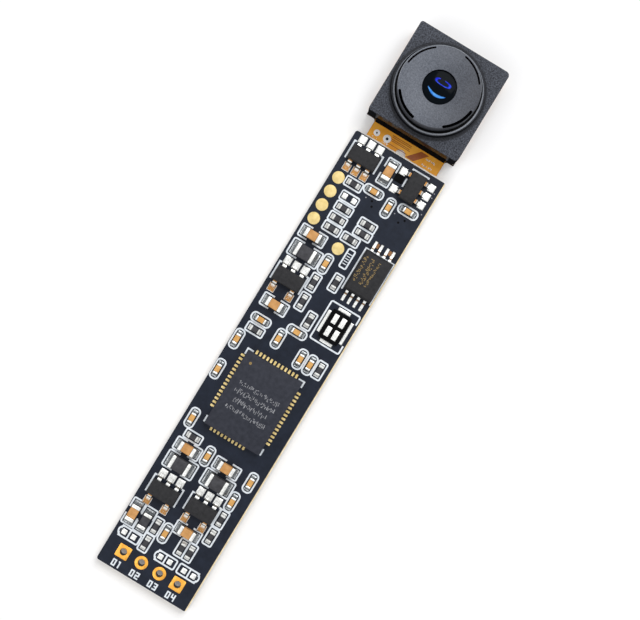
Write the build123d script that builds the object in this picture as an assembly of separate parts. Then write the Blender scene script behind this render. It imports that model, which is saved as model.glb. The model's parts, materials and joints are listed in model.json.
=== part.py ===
from build123d import *
import os
from math import sqrt

# Rigid board
board_length = 47.7
board_width = 9.95
board_thickness = 0.8
board_corner = 0.25
coat_thickness = 0.03
coat_bare_edge = 0.13
print_margin = 0.03
print_clearance = 0.02
land_thickness = 0.03
print_thickness = 0.02

# Four plated holes for the wires, at the board's plain end
wire_pitch = 2.0
wire_hole_radius = 0.33
wire_plating = 0.03
wire_pad_size = 1.3
wire_pad_thickness = 0.05
wire_inset = 1.85
label_inset = 0.55
label_cell = 0.14
digit_columns = 3
digit_rows = 5

# Gold test pads
test_pad_radius = 0.6
test_pad_thickness = 0.04

# Flexible strip between board and head
flex_width = 7.8
flex_thickness = 0.15
flex_gap = 1.95
flex_tail = 3.2
flex_flare = 0.3
flex_lip = 0.04
flex_hole_radius = 0.52
flex_hole_across = -0.15
flex_hole_along = 0.2
trace_thickness = 0.015
track_margin = 0.2
broad_track = (0.5, 1.7, 0.5)
fine_track = (-1.9, 0.28, 0.12, 0.4)
fine_track_count = 5
side_track = (2.9, 0.25, 0.1, 0.6)
side_track_count = 3
ring_marks = {"small": (-3.15, 0.85, 0.3, 0.17), "large": (-2.0, 0.85, 0.38, 0.2)}
dash_mark = (0.36, 0.2, 0.2, 0.1)
field_mark = (2.75, 0.5, 1.1, 0.36, 0.08)
bead_width = 0.22
bead_height = 0.4
joint_pitch = 0.35
joint_width = 0.2
joint_length = 0.45
joint_thickness = 0.1
joint_count = 20

# Head: base, sensor and lens holder
head_shift = -0.06
stiffener_thickness = 0.2
stiffener_margin = 0.1
holder_size = 9.7
holder_height = 3.35
holder_corner_left = 0.24
holder_corner_right = 0.42
holder_wall = 0.8
holder_edge = 0.06
glue_thickness = 0.05
glue_width = 0.55
room_height = 1.1
shelf_thickness = 0.4
window_size = 4.0
collar_height = 0.85
collar_radius = 4.42
collar_foot = 0.15
collar_wall = 0.34
collar_edge = 0.1
sensor_length = 5.6
sensor_width = 5.2
sensor_thickness = 0.65
ball_radius = 0.15
ball_height = 0.15
ball_pitch = 0.8
filter_size = 4.6
filter_thickness = 0.21

# Lens barrel and what it holds
lens_offset = -0.17
barrel_radius = 3.4
barrel_clearance = 0.05
flange_radius = 3.9
flange_edge = 0.08
flange_lift = 0.25
front_rise = 1.9
barrel_rear_gap = 0.45
pupil_radius = 1.6
lip_thickness = 0.25
front_bore = 2.05
front_bore_depth = 0.75
middle_bore = 2.45
middle_bore_depth = 1.0
rear_bore = 2.85
lens_clearance = 0.02
slot_radius = 3.68
slot_width = 0.22
slot_depth = 0.3
slot_angles = ((36, 44), (127, 45), (216, 43), (307, 46))
ring_thickness = 0.25
ring_inner_radius = 2.2
aperture_radius = 0.8
aperture_thickness = 0.06
front_clear_radius = 1.6
front_bulge = 0.16
front_hollow = 0.1
front_gap = 0.12
second_thickness = 0.55
second_clear_radius = 1.5
second_bulge = 0.12
second_hollow = 0.08
element_gap = 0.12
third_clear_radius = 1.8
third_hollow = 0.14
third_back_hollow = 0.1
rear_clear_radius = 2.2
rear_bulge = 0.15

# Two-terminal chips: length, width, height, terminal, reach of the solder past the end
resistor_size = (1.0, 0.52, 0.35, 0.2, 0.2)
small_capacitor_size = (1.05, 0.52, 0.5, 0.22, 0.3)
large_capacitor_size = (1.68, 0.9, 0.8, 0.37, 0.36)
inductor_size = (2.0, 1.32, 1.0, 0.37, 0.4)
bead_size = (1.6, 0.86, 0.75, 0.34, 0.36)
terminal_plating = 0.015
solder_climb = 0.6

# Small-outline chips
outline_length = 2.95
outline_width = 1.55
outline_height = 1.0
outline_edge = 0.1
outline_standoff = 0.1
outline_pitch = 0.95
outline_lead_width = 0.42
outline_lead_reach = 0.68
outline_pad_start = 0.5
outline_pad_length = 0.62
outline_pad_width = 0.74
lead_thickness = 0.13
lead_shoulder = 0.2
lead_height = 0.5

# Memory chip
memory_length = 3.0
memory_width = 4.35
memory_height = 0.9
memory_pitch = 0.65
memory_lead_width = 0.28
memory_lead_reach = 0.8
memory_pad_start = 0.45
memory_pad_length = 0.65

# Controller
controller_length = 6.05
controller_width = 8.05
controller_height = 0.85
controller_edge = 0.05
controller_pitch = 0.4
controller_land_width = 0.27
controller_land_reach = 0.4
controller_land_under = 0.3
controller_mark = 0.7
controller_mark_gap = 0.02
controller_top_count = 12
controller_left_count = 15
controller_bottom_count = 10
controller_right_count = 15
controller_left_shift = 0.5
controller_bottom_shift = 0.37
controller_right_shift = -0.1

# Filter choke
choke_length = 2.0
choke_width = 2.95
choke_height = 0.55
choke_pad_length = 0.47
choke_pad_width = 0.97
choke_pad_pitch_x = 0.83
choke_pad_pitch_y = 1.34
choke_pad_proud = 0.02
choke_side_land = 0.33
choke_side_gap = 0.06
choke_frame_gap = 0.27
choke_frame_corner = 0.25

# Print
stroke = 0.16
capsule_frame = (2.17, 1.05, 0.45)
resistor_frame = (1.95, 1.08, 0.22)
large_frame = (2.83, 1.42, 0.2)
inductor_frame = (3.33, 1.83, 0.24)
large_frame_gap = 0.65
inductor_frame_gap = 0.95
bracket_size = (3.3, 1.95, 0.28)
bracket_shift = 0.18
memory_frame = (3.28, 4.6, 1.6)
switch_bar = (1.59, 0, 0.2, 1.87)
switch_line = (0.08, 0.92, 0.9)
label_place = (57.3, 77.0, 0)
label_frame = (0.86, 2.1, 0.2)
label_divider = 0.5
label_bar = (0.4, 0.08, 0.26)
label_bar_count = 4
jumper_frame = (2.43, 1.16, 0.24)
jumper_bar = (0.39, 0.08)
jumper_round_inset = 0.04
jumper_pitch = 1.02
jumper_pad = 0.66

# Places on the board, in percent of its width and length from the left corner of the plain end.
# The third value is the turn in degrees.
resistor_places = {
    "input_left": (33.4, 7.7, 90),
    "input_upper": (33.7, 11.6, 90),
    "edge_lower": (84.2, 15.5, 90),
    "edge_upper": (84.2, 19.5, 90),
    "supply_flat": (19.4, 30.7, 0),
    "corner_flat": (16.6, 55.4, 0),
    "corner_right": (90.3, 55.1, 90),
    "middle_upper": (41.2, 69.5, 90),
    "middle_lower": (41.6, 65.1, 90),
    "crossing": (56.9, 62.5, 90),
    "memory_side": (59.9, 71.7, 90),
    "ladder_top": (29.2, 85.2, 0),
    "ladder_middle": (29.2, 82.8, 0),
    "ladder_bottom": (29.2, 80.6, 0),
    "block_top": (57.3, 84.8, 0),
    "block_bottom": (57.6, 82.8, 0),
    "block_foot": (50.1, 80.6, 0),
    "top_left": (24.9, 90.4, 0),
}
small_capacitor_places = {
    "input": (44.8, 11.4, 90),
    "edge": (84.2, 23.6, 90),
    "supply_left": (41.0, 28.9, 90),
    "supply_right": (89.9, 28.8, 90),
    "corner_lower": (8.8, 33.9, 90),
    "side_lower": (5.3, 44.9, 90),
    "side_upper": (6.0, 52.0, 90),
    "corner_upper": (16.6, 57.7, 0),
    "row_left": (40.4, 56.3, 90),
    "crossing": (52.4, 59.3, 0),
    "middle": (41.8, 73.9, 90),
    "top_left": (45.4, 91.2, 0),
    "top_middle": (65.5, 89.9, 90),
    "top_right": (83.9, 91.3, 0),
}
large_capacitor_places = {
    "supply_left": (20.7, 28.1, 0),
    "supply_right": (62.8, 28.8, 0),
    "sensor_supply": (20.0, 61.7, 0),
    "memory_supply": (17.1, 77.4, 0),
    "top": (47.9, 96.0, 90),
}
inductor_places = {
    "left": (22.8, 24.6, 0),
    "right": (62.8, 25.3, 0),
    "upper": (19.5, 73.6, 0),
}
bead_place = (21.8, 11.5, 90)
regulator_places = {
    "left": (22.6, 18.3, 0),
    "right": (62.8, 19.1, 0),
    "upper": (18.7, 67.5, 0),
}
driver_place = (20.1, 95.8, 0)
switch_place = (75.8, 95.8, 90)
controller_place = (52.1, 42.9, 0)
memory_place = (83.4, 76.2, 0)
choke_place = (81.8, 64.1, 0)
jumper_places = {
    "lower_left": (15.3, 7.4, 0),
    "lower_middle": (57.8, 6.9, 0),
    "lower_right": (84.4, 6.9, 180),
}
spare_place = (28.7, 87.5, 0)
test_pad_places = {"single": (44.5, 77.8)}

# Parts that keep a set gap from the lands of the part beside them along the board
input_gap = 0.05
output_gap = 0.18
pair_gap = 0.4
row_gap = 0.54
test_gap_upper = 0.27
test_gap_lower = 0.43
test_row_across = 9.0
test_row_count = 4
outline_reach = outline_width / 2 + outline_pad_start + outline_pad_length
controller_reach = controller_width / 2 + controller_land_reach
large_side, large_end = large_capacitor_size[1] / 2, large_capacitor_size[0] / 2 + large_capacitor_size[4]
small_end = small_capacitor_size[0] / 2 + small_capacitor_size[4]
resistor_end = resistor_size[0] / 2 + resistor_size[4]


def beside(neighbour, across, distance, turn=0):
    # a place that lies this distance further along the board than its neighbour
    return across, neighbour[1] + distance / board_length * 100, turn


large_capacitor_places["input"] = beside(
    regulator_places["left"], 8.0, -(outline_reach + input_gap + large_end), 90)
large_capacitor_places["regulator_out"] = beside(
    regulator_places["right"], 62.6, -(outline_reach + output_gap + large_side))
for name, across in {"pair_left": 65.9, "pair_right": 75.0}.items():
    resistor_places[name] = beside(
        large_capacitor_places["regulator_out"], across, -(large_side + pair_gap + resistor_end), 90)
for name, across in {"row_middle": 68.9, "row_right": 79.8}.items():
    small_capacitor_places[name] = beside(controller_place, across, controller_reach + row_gap + small_end, 90)

# the test pads lie evenly between the driver and the capacitor below them
first_pad = beside(driver_place, test_row_across, -(outline_reach + test_gap_upper + test_pad_radius))
last_pad = beside(large_capacitor_places["memory_supply"], test_row_across,
                  large_side + test_gap_lower + test_pad_radius)
for i in range(test_row_count):
    share = i / (test_row_count - 1)
    test_pad_places[f"row_{i}"] = (test_row_across, first_pad[1] + (last_pad[1] - first_pad[1]) * share)

# Digits on a grid of three by five cells, for the numbers beside the wire pads
digit_outlines = {
    "1": [(1, 0), (2, 0), (2, 5), (0.4, 5), (0.4, 4), (1, 4)],
    "2": [(0, 0), (3, 0), (3, 1), (1, 1), (1, 2), (3, 2), (3, 5), (0, 5), (0, 4), (2, 4), (2, 3), (0, 3)],
    "3": [(0, 0), (3, 0), (3, 5), (0, 5), (0, 4), (2, 4), (2, 3), (0.6, 3), (0.6, 2), (2, 2), (2, 1), (0, 1)],
    "4": [(2, 0), (3, 0), (3, 5), (2, 5), (2, 3), (1, 3), (1, 5), (0, 5), (0, 2), (2, 2)],
}

# Levels, from the surface that the module lies on
flex_bottom = stiffener_thickness
flex_top = flex_bottom + flex_thickness
board_bottom = flex_top
board_top = board_bottom + board_thickness
coat_top = board_top + coat_thickness
land_top = coat_top + land_thickness
holder_bottom = flex_top + glue_thickness
holder_top = holder_bottom + holder_height
shelf_bottom = holder_bottom + room_height
shelf_top = shelf_bottom + shelf_thickness
barrel_rear = shelf_top + barrel_rear_gap
flange_bottom = holder_top + flange_lift
barrel_front = holder_top + front_rise

# Places along the module
overall_length = board_length + flex_gap + holder_size
plain_end = -overall_length / 2
board_end = plain_end + board_length
head_start = board_end + flex_gap
head_middle = head_start + holder_size / 2
coat_middle = -coat_bare_edge / 2
head_across = coat_middle + head_shift
lens_across = head_across + lens_offset
bore_radius = barrel_radius + barrel_clearance

low = (Align.CENTER, Align.CENTER, Align.MIN)


def slab(length, width, height, x=0, y=0, z=0):
    return Pos(x, y, z) * Box(length, width, height, align=low)


def drum(radius, height, x=0, y=0, z=0):
    return Pos(x, y, z) * Cylinder(radius, height, align=low)


def spot(place, z):
    # a place on the board, turned as the place says
    x = place[0] / 100 * (board_width - coat_bare_edge) - board_width / 2
    y = plain_end + place[1] / 100 * board_length
    turn = place[2] if len(place) > 2 else 0
    return Pos(x, y, z) * Rot(0, 0, turn)


def save(name, *pieces):
    solids = [solid for piece in pieces for solid in piece.solids()]
    shape = solids[0] if len(solids) == 1 else Compound(solids)
    export_step(shape, f"parts/{name}.step")


# Board, its dark coat and the plated holes

def wire_positions():
    return [(coat_middle + (i - 1.5) * wire_pitch, plain_end + wire_inset) for i in range(4)]


def plate_with_wire_holes(face, z, thickness):
    plate = Pos(0, 0, z) * extrude(face, thickness)
    for x, y in wire_positions():
        plate -= drum(wire_hole_radius + wire_plating, thickness * 3, x, y, z - thickness)
    return plate


def board_outline():
    middle = plain_end + board_length / 2
    return Pos(0, middle) * RectangleRounded(board_width, board_length, board_corner)


def circuit_board():
    return plate_with_wire_holes(board_outline(), board_bottom, board_thickness)


def coat_outline():
    return board_outline() - Pos(board_width / 2, 0) * Rectangle(coat_bare_edge * 2, overall_length)


def coat_front():
    return plate_with_wire_holes(coat_outline(), board_top, coat_thickness)


def coat_back():
    plate = plate_with_wire_holes(board_outline(), board_bottom - coat_thickness, coat_thickness)
    window_length = flex_tail + joint_length
    window = slab(flex_width, window_length, coat_thickness * 3, x=coat_middle,
                  y=board_end - window_length / 2, z=board_bottom - coat_thickness * 2)
    return plate - window


def wire_pad(index, x, y):
    # a square land on the outer two holes and a round one on the inner two, both sides, joined by the barrel
    square = index in (0, 3)
    land = Rectangle(wire_pad_size, wire_pad_size) if square else Circle(wire_pad_size / 2)
    back_z = board_bottom - coat_thickness - wire_pad_thickness
    front = Pos(x, y, coat_top) * extrude(land, wire_pad_thickness)
    back = Pos(x, y, back_z) * extrude(land, wire_pad_thickness)
    barrel = drum(wire_hole_radius + wire_plating, coat_top - back_z, x, y, back_z)
    hole = drum(wire_hole_radius, board_thickness * 3, x, y, back_z - board_thickness)
    return front + back + barrel - hole


def test_pads():
    return [spot(place, coat_top) * Cylinder(test_pad_radius, test_pad_thickness, align=low)
            for place in test_pad_places.values()]


# Two-terminal chips, each along X before it is placed

def chip_body(size):
    length, width, height, terminal, reach = size
    return slab(length - terminal * 2, width - terminal_plating * 2, height - terminal_plating, z=land_thickness)


def chip_ends(size):
    length, width, height, terminal, reach = size
    middle = (length - terminal) / 2
    return [slab(terminal, width, height, x=side * middle, z=land_thickness) for side in (-1, 1)]


def chip_lands(size):
    # the land runs under the terminal, and its solder climbs the end face
    length, width, height, terminal, reach = size
    face, outer, inner = length / 2, length / 2 + reach, length / 2 - terminal
    climb = land_thickness + height * solder_climb
    lands = []
    for side in (-1, 1):
        points = [(inner, 0), (outer, 0), (outer, land_thickness), (face, climb),
                  (face, land_thickness), (inner, land_thickness)]
        profile = make_face(Polyline(*[(side * x, 0, z) for x, z in points], close=True))
        lands.append(extrude(profile, width / 2, dir=(0, 1, 0), both=True))
    return lands


def place_all(make, size, places):
    pieces = []
    for place in places:
        made = make(size)
        for piece in made if isinstance(made, list) else [made]:
            pieces.append(spot(place, coat_top) * piece)
    return pieces


# Chips with bent leads

def moulded_body(length, width, height, standoff, edge):
    body = slab(length, width, height, z=standoff)
    return chamfer(body.faces().sort_by(Axis.Z)[-1].edges(), edge)


def bent_lead(body_width, reach, width, side):
    # out of the body's side, down, and along the land; its foot stands on the land
    start, knee, tip = body_width / 2, body_width / 2 + lead_shoulder, body_width / 2 + reach
    foot, shoulder, t = land_thickness, lead_height, lead_thickness
    points = [(start, shoulder), (start, shoulder + t), (knee + t, shoulder + t), (knee + t, foot + t),
              (tip, foot + t), (tip, foot), (knee, foot), (knee, shoulder)]
    profile = make_face(Polyline(*[(0, side * y, z) for y, z in points], close=True))
    return extrude(profile, width / 2, dir=(1, 0, 0), both=True)


def outline_body():
    return moulded_body(outline_length, outline_width, outline_height, outline_standoff, outline_edge)


def lead_columns(full_side):
    return (-1, 0, 1) if full_side else (-1, 1)


def outline_leads(lower_full):
    leads = []
    for side, full in ((1, True), (-1, lower_full)):
        for column in lead_columns(full):
            lead = bent_lead(outline_width, outline_lead_reach, outline_lead_width, side)
            leads.append(Pos(column * outline_pitch, 0, 0) * lead)
    return leads


def outline_pads(lower_full):
    pads = []
    y = outline_width / 2 + outline_pad_start + outline_pad_length / 2
    for side, full in ((1, True), (-1, lower_full)):
        for column in lead_columns(full):
            x = column * outline_pitch
            pads.append(slab(outline_pad_width, outline_pad_length, land_thickness, x, side * y))
    return pads


def seat(place, pieces):
    return [spot(place, coat_top) * piece for piece in pieces]


def memory_body():
    return moulded_body(memory_length, memory_width, memory_height, outline_standoff, outline_edge)


def memory_columns():
    return [(i - 1.5) * memory_pitch for i in range(4)]


def memory_leads():
    return [Pos(x, 0, 0) * bent_lead(memory_width, memory_lead_reach, memory_lead_width, side)
            for side in (-1, 1) for x in memory_columns()]


def memory_pads():
    y = memory_width / 2 + memory_pad_start + memory_pad_length / 2
    return [slab(memory_lead_width, memory_pad_length, land_thickness, x, side * y)
            for side in (-1, 1) for x in memory_columns()]


# Controller with lands on all four sides

def controller_body():
    body = slab(controller_length, controller_width, controller_height, z=land_thickness)
    return chamfer(body.faces().sort_by(Axis.Z)[-1].edges(), controller_edge)


def land_row(count, turn, half, shift):
    # one row of lands along a side that lies half away from the middle, before it is turned
    length = controller_land_reach + controller_land_under
    y = half + controller_land_reach - length / 2
    row = []
    for i in range(count):
        x = (i - (count - 1) / 2) * controller_pitch + shift
        row.append(Rot(0, 0, turn) * slab(controller_land_width, length, land_thickness, x, y))
    return row


def controller_lands():
    half_length, half_width = controller_length / 2, controller_width / 2
    lands = land_row(controller_top_count, 0, half_width, 0)
    lands += land_row(controller_left_count, 90, half_length, controller_left_shift)
    lands += land_row(controller_bottom_count, 180, half_width, controller_bottom_shift)
    lands += land_row(controller_right_count, 270, half_length, controller_right_shift)
    return lands


# Filter choke with four terminals on its top and solder along its sides

def choke_body():
    return slab(choke_length, choke_width, choke_height, z=land_thickness)


def choke_terminals():
    z = land_thickness + choke_height
    return [slab(choke_pad_length, choke_pad_width, choke_pad_proud,
                 i * choke_pad_pitch_x / 2, j * choke_pad_pitch_y / 2, z)
            for i in (-1, 1) for j in (-1, 1)]


def choke_lands():
    reach_x = choke_length / 2 + choke_side_gap + choke_side_land / 2
    reach_y = choke_width / 2 + choke_side_gap + choke_side_land / 2
    tall = choke_pad_pitch_y + choke_pad_width
    wide = choke_pad_pitch_x + choke_pad_length
    base = [slab(wide, choke_pad_length, land_thickness, y=side * (choke_width - choke_pad_length) / 2)
            for side in (-1, 1)]
    sides = [slab(choke_side_land, tall, land_thickness, x=side * reach_x) for side in (-1, 1)]
    ends = [slab(wide, choke_side_land, land_thickness, y=side * reach_y) for side in (-1, 1)]
    return base + sides + ends


def jumper_lands():
    return [slab(jumper_pad, jumper_pad, land_thickness, x=side * jumper_pitch / 2) for side in (-1, 1)]


# White print: frames round the chips, brackets, marks and plain numbers

def frame(size, gap=0):
    length, width, corner = size
    inner_corner = max(corner - stroke, stroke / 4)
    ring = (RectangleRounded(length, width, corner)
            - RectangleRounded(length - stroke * 2, width - stroke * 2, inner_corner))
    if gap:
        ring -= Rectangle(gap, width * 2)
    return ring


def bracket(length, width, arm):
    # two upright sides, each with a short arm along the top
    pieces = []
    for side in (-1, 1):
        x = side * (length - stroke) / 2
        pieces.append(Pos(x, 0) * Rectangle(stroke, width))
        pieces.append(Pos(side * (length - arm) / 2, (width - stroke) / 2) * Rectangle(arm, stroke))
    return Sketch() + pieces


def jumper_print():
    # one end is round, the other has small corners; a divider between the lands, and a thin bar before the first
    length, width, corner = jumper_frame
    inset, thickness = jumper_bar
    divider = Rectangle(stroke, width)
    bar = Pos(-length / 2 + inset, 0) * Rectangle(thickness, width)
    outer = RectangleRounded(length, width, corner)
    outer += Pos(-(length - width) / 2 + jumper_round_inset, 0) * Circle(width / 2)
    outer -= Pos(-length / 2, width / 2) * Rectangle(corner * 2, corner * 2)
    outer -= Pos(-length / 2, -width / 2) * Rectangle(corner * 2, corner * 2)
    return outer - offset(outer, -stroke) + (divider & outer) + (bar & outer)


def number_print(text):
    width, height = label_cell * digit_columns, label_cell * digit_rows
    step = width + label_cell
    shapes = []
    for i, digit in enumerate(text):
        x = (i - (len(text) - 1) / 2) * step - width / 2
        if digit == "0":
            ring = Rectangle(width, height) - Rectangle(width - label_cell * 2, height - label_cell * 2)
            shapes.append(Pos(x + width / 2, 0) * ring)
        else:
            points = [(x + a * label_cell, b * label_cell - height / 2) for a, b in digit_outlines[digit]]
            shapes.append(make_face(Polyline(*points, close=True)))
    return shapes


def controller_marks():
    # a line beside each lower corner and a bent one round each upper corner
    x = controller_length / 2 + controller_mark_gap + stroke / 2
    y = controller_width / 2 + controller_mark_gap + stroke / 2
    half = controller_mark / 2
    marks = []
    for side in (-1, 1):
        marks.append(Pos(side * x, half - controller_width / 2) * Rectangle(stroke, controller_mark))
        marks.append(Pos(side * x, y - half + stroke / 2) * Rectangle(stroke, controller_mark))
        marks.append(Pos(side * (x - half + stroke / 2), y) * Rectangle(controller_mark, stroke))
    return marks


def choke_print():
    around = (choke_side_land + choke_side_gap + choke_frame_gap) * 2
    reach_x, reach_y = choke_length + around, choke_width + around
    tall = choke_pad_pitch_y + choke_pad_width
    ring = frame((reach_x, reach_y, choke_frame_corner))
    return ring - Pos(reach_x / 2, 0) * Rectangle(stroke * 3, tall)


def label_box():
    # a small framed field with short bars in it
    length, thickness, step = label_bar
    pieces = [frame(label_frame), Pos(0, label_divider) * Rectangle(label_frame[0], thickness)]
    pieces += [Pos(0, label_divider - (i + 1) * step) * Rectangle(length, thickness)
               for i in range(label_bar_count)]
    return Sketch() + pieces


def keep_clear(solids):
    # a rectangle over each solid, wider than it by the clearance
    areas = []
    for solid in solids:
        box = solid.bounding_box()
        area = Rectangle(box.size.X + print_clearance * 2, box.size.Y + print_clearance * 2)
        areas.append(Pos(box.center().X, box.center().Y) * area)
    return areas


def legend_print(lands):
    faces = []

    def put(place, *shapes):
        for shape in shapes:
            faces.append(spot(place, 0) * shape)

    for place in resistor_places.values():
        put(place, frame(resistor_frame))
    for place in small_capacitor_places.values():
        put(place, frame(capsule_frame))
    for place in large_capacitor_places.values():
        put(place, frame(large_frame, large_frame_gap))
    for place in inductor_places.values():
        put(place, frame(inductor_frame, inductor_frame_gap))
    put(bead_place, frame(large_frame, large_frame_gap))
    for place in list(regulator_places.values()) + [driver_place]:
        put(place, Pos(0, bracket_shift) * bracket(*bracket_size))
    x, y, thickness, width = switch_bar
    put(switch_place, Pos(x, y) * Rectangle(thickness, width))
    x, y, width = switch_line
    put(switch_place, Pos(x, y) * Rectangle(width, stroke))
    for place in jumper_places.values():
        put(place, jumper_print())
    put(spare_place, frame(resistor_frame))
    put(controller_place, *controller_marks())
    put(memory_place, bracket(*memory_frame))
    put(choke_place, choke_print())
    put(label_place, label_box())
    for i, (x, y) in enumerate(wire_positions()):
        for shape in number_print(f"0{i + 1}"):
            faces.append(Pos(x, plain_end + label_inset) * shape)
    field = offset(coat_outline(), -print_margin)
    print_faces = ((Sketch() + faces) & field) - keep_clear(lands)
    return Pos(0, 0, coat_top) * extrude(print_faces, print_thickness)


# Flexible strip, its copper pattern, print and joints

def flex_hole_place():
    return coat_middle + flex_hole_across, board_end + flex_hole_along


def flex_outline():
    tail_end = board_end - flex_tail
    pad_start = head_start - flex_lip
    pad_end = head_start + holder_size
    strip = Pos(coat_middle, (tail_end + pad_end) / 2) * Rectangle(flex_width, pad_end - tail_end)
    pad = Pos(head_across, (pad_start + pad_end) / 2) * Rectangle(holder_size, pad_end - pad_start)
    outline = strip + pad
    inner = [v for v in outline.vertices()
             if abs(abs(v.X - coat_middle) - flex_width / 2) < 0.01 and abs(v.Y - pad_start) < 0.01]
    outline = fillet(inner, flex_flare)
    return outline - Pos(*flex_hole_place()) * Circle(flex_hole_radius)


def flex_strip():
    return Pos(0, 0, flex_bottom) * extrude(flex_outline(), flex_thickness)


def track_row(row, count, end):
    # short parallel tracks that end near the head
    first, step, width, length = row
    return [Pos(first + i * step, end - length / 2) * Rectangle(width, length) for i in range(count)]


def flex_traces():
    # a broad slanting track, and rows of fine ones
    start, end = board_end + bead_width + track_margin / 4, head_start - flex_lip - track_margin
    near, far, width = broad_track
    broad = [(near, start), (near + width, start), (far + width, end), (far, end)]
    faces = [make_face(Polyline(*broad, close=True))]
    faces += track_row(fine_track, fine_track_count, end) + track_row(side_track, side_track_count, end)
    return Pos(coat_middle, 0, flex_top) * extrude(Sketch() + faces, trace_thickness)


def flex_print():
    marks = []
    along, shift, dash_length, dash_width = dash_mark
    for across, ring_along, outer, inner in ring_marks.values():
        marks.append(Pos(across, board_end + ring_along) * (Circle(outer) - Circle(inner)))
        marks += [Pos(across + side * shift, board_end + along) * Rectangle(dash_length, dash_width)
                  for side in (-1, 1)]
    across, along, length, width, line = field_mark
    field = Rectangle(length, width) - Rectangle(length - line * 2, width - line * 2)
    marks.append(Pos(across, board_end + along) * field)
    return Pos(coat_middle, 0, flex_top) * extrude(Sketch() + marks, trace_thickness)


def flex_joints():
    y = board_end - flex_tail - joint_length / 2
    return [slab(joint_width, joint_length, joint_thickness,
                 coat_middle + (i - (joint_count - 1) / 2) * joint_pitch, y, board_bottom - joint_thickness)
            for i in range(joint_count)]


def fixing_bead():
    # a fillet of white adhesive in the corner between the board's end and the strip
    points = [(0, 0), (bead_width, 0), (0, bead_height)]
    profile = make_face(Polyline(*[(coat_middle, board_end + y, flex_top + z) for y, z in points], close=True))
    bead = extrude(profile, flex_width / 2, dir=(1, 0, 0), both=True)
    return bead - drum(flex_hole_radius, bead_height * 2, *flex_hole_place(), flex_top)


# Head: base, sensor, holder and filter

def head_stiffener():
    size = holder_size - stiffener_margin * 2
    return slab(size, size, stiffener_thickness, head_across, head_middle)


def sensor_balls():
    columns = int((sensor_length - ball_radius * 2) / ball_pitch)
    rows = int((sensor_width - ball_radius * 2) / ball_pitch)
    return [drum(ball_radius, ball_height, (i - columns / 2) * ball_pitch + lens_across,
                 head_middle + (j - rows / 2) * ball_pitch, flex_top)
            for i in range(columns + 1) for j in range(rows + 1)]


def image_sensor():
    return slab(sensor_length, sensor_width, sensor_thickness, lens_across, head_middle, flex_top + ball_height)


def holder_glue():
    outer = holder_size - stiffener_margin * 2
    ring = Rectangle(outer, outer) - Rectangle(outer - glue_width * 2, outer - glue_width * 2)
    return Pos(head_across, head_middle, flex_top) * extrude(ring, glue_thickness)


def revolved(points, x=0, y=0):
    profile = make_face(Polyline(*[(r, 0, z) for r, z in points], close=True))
    return Pos(x, y, 0) * revolve(profile, Axis.Z)


def lens_holder():
    block = slab(holder_size, holder_size, holder_height, z=holder_bottom)
    upright = block.edges().filter_by(Axis.Z).sort_by(Axis.X)
    block = fillet(upright[:2], holder_corner_left)
    upright = block.edges().filter_by(Axis.Z).sort_by(Axis.X)
    block = fillet(upright[-2:], holder_corner_right)
    block = fillet(block.faces().sort_by(Axis.Z)[-1].edges(), holder_edge)
    room = holder_size - holder_wall * 2
    block -= slab(room, room, room_height, z=holder_bottom)
    block -= slab(window_size, window_size, shelf_thickness * 2, lens_offset, 0, shelf_bottom - shelf_thickness / 2)
    block -= drum(bore_radius, holder_height, lens_offset, 0, shelf_top)
    collar_top = holder_top + collar_height
    collar = revolved([(collar_radius - collar_wall, holder_top), (collar_radius + collar_foot, holder_top),
                       (collar_radius, holder_top + collar_foot), (collar_radius, collar_top - collar_edge),
                       (collar_radius - collar_edge, collar_top), (collar_radius - collar_wall, collar_top)],
                      lens_offset)
    return Pos(head_across, head_middle, 0) * (block + collar)


def infrared_filter():
    return slab(filter_size, filter_size, filter_thickness, lens_across, head_middle, shelf_top)


# Lens barrel, elements and rings, all about one axis

def on_axis(piece):
    return Pos(lens_across, head_middle, 0) * piece


front_seat = barrel_front - lip_thickness
middle_seat = front_seat - front_bore_depth
rear_seat = middle_seat - middle_bore_depth


def lens_barrel():
    body = drum(barrel_radius, flange_bottom - barrel_rear, z=barrel_rear)
    flange = drum(flange_radius, barrel_front - flange_bottom, z=flange_bottom)
    flange = chamfer(flange.faces().sort_by(Axis.Z)[-1].edges(), flange_edge)
    barrel = body + flange
    barrel -= drum(pupil_radius, lip_thickness * 2, z=front_seat - lip_thickness / 2)
    barrel -= drum(front_bore, front_bore_depth, z=middle_seat)
    barrel -= drum(middle_bore, middle_bore_depth, z=rear_seat)
    barrel -= drum(rear_bore, rear_seat - barrel_rear, z=barrel_rear)
    for start, size in slot_angles:
        slot = SlotArc(CenterArc((0, 0), slot_radius, start, size), slot_width)
        barrel -= Pos(0, 0, barrel_front - slot_depth) * extrude(slot, slot_depth * 2)
    return on_axis(barrel)


def lens_element(radius, rim_low, rim_high, clear, low_bulge, high_bulge):
    # a flat rim round two spherical faces; a bulge below zero hollows the face
    def cap(z, bulge, sign):
        if abs(bulge) < 0.001:
            return Line((0, 0, z), (clear, 0, z))
        curve = (clear ** 2 + bulge ** 2) / (2 * abs(bulge))
        half = clear / 2
        sag = curve - sqrt(curve ** 2 - half ** 2)
        top = z + sign * bulge
        middle = top - sign * sag * (1 if bulge > 0 else -1)
        return ThreePointArc((0, 0, top), (half, 0, middle), (clear, 0, z))

    lower, upper = cap(rim_low, low_bulge, -1), cap(rim_high, high_bulge, 1)
    sides = Polyline((clear, 0, rim_low), (radius, 0, rim_low), (radius, 0, rim_high), (clear, 0, rim_high))
    axis = Line((0, 0, rim_low - low_bulge), (0, 0, rim_high + high_bulge))
    profile = make_face(Wire([lower.edge(), *sides.edges(), upper.edge(), axis.edge()]))
    return on_axis(revolve(profile, Axis.Z))


def front_element():
    return lens_element(front_bore - lens_clearance, middle_seat + front_gap, front_seat,
                        front_clear_radius, -front_hollow, front_bulge)


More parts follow.
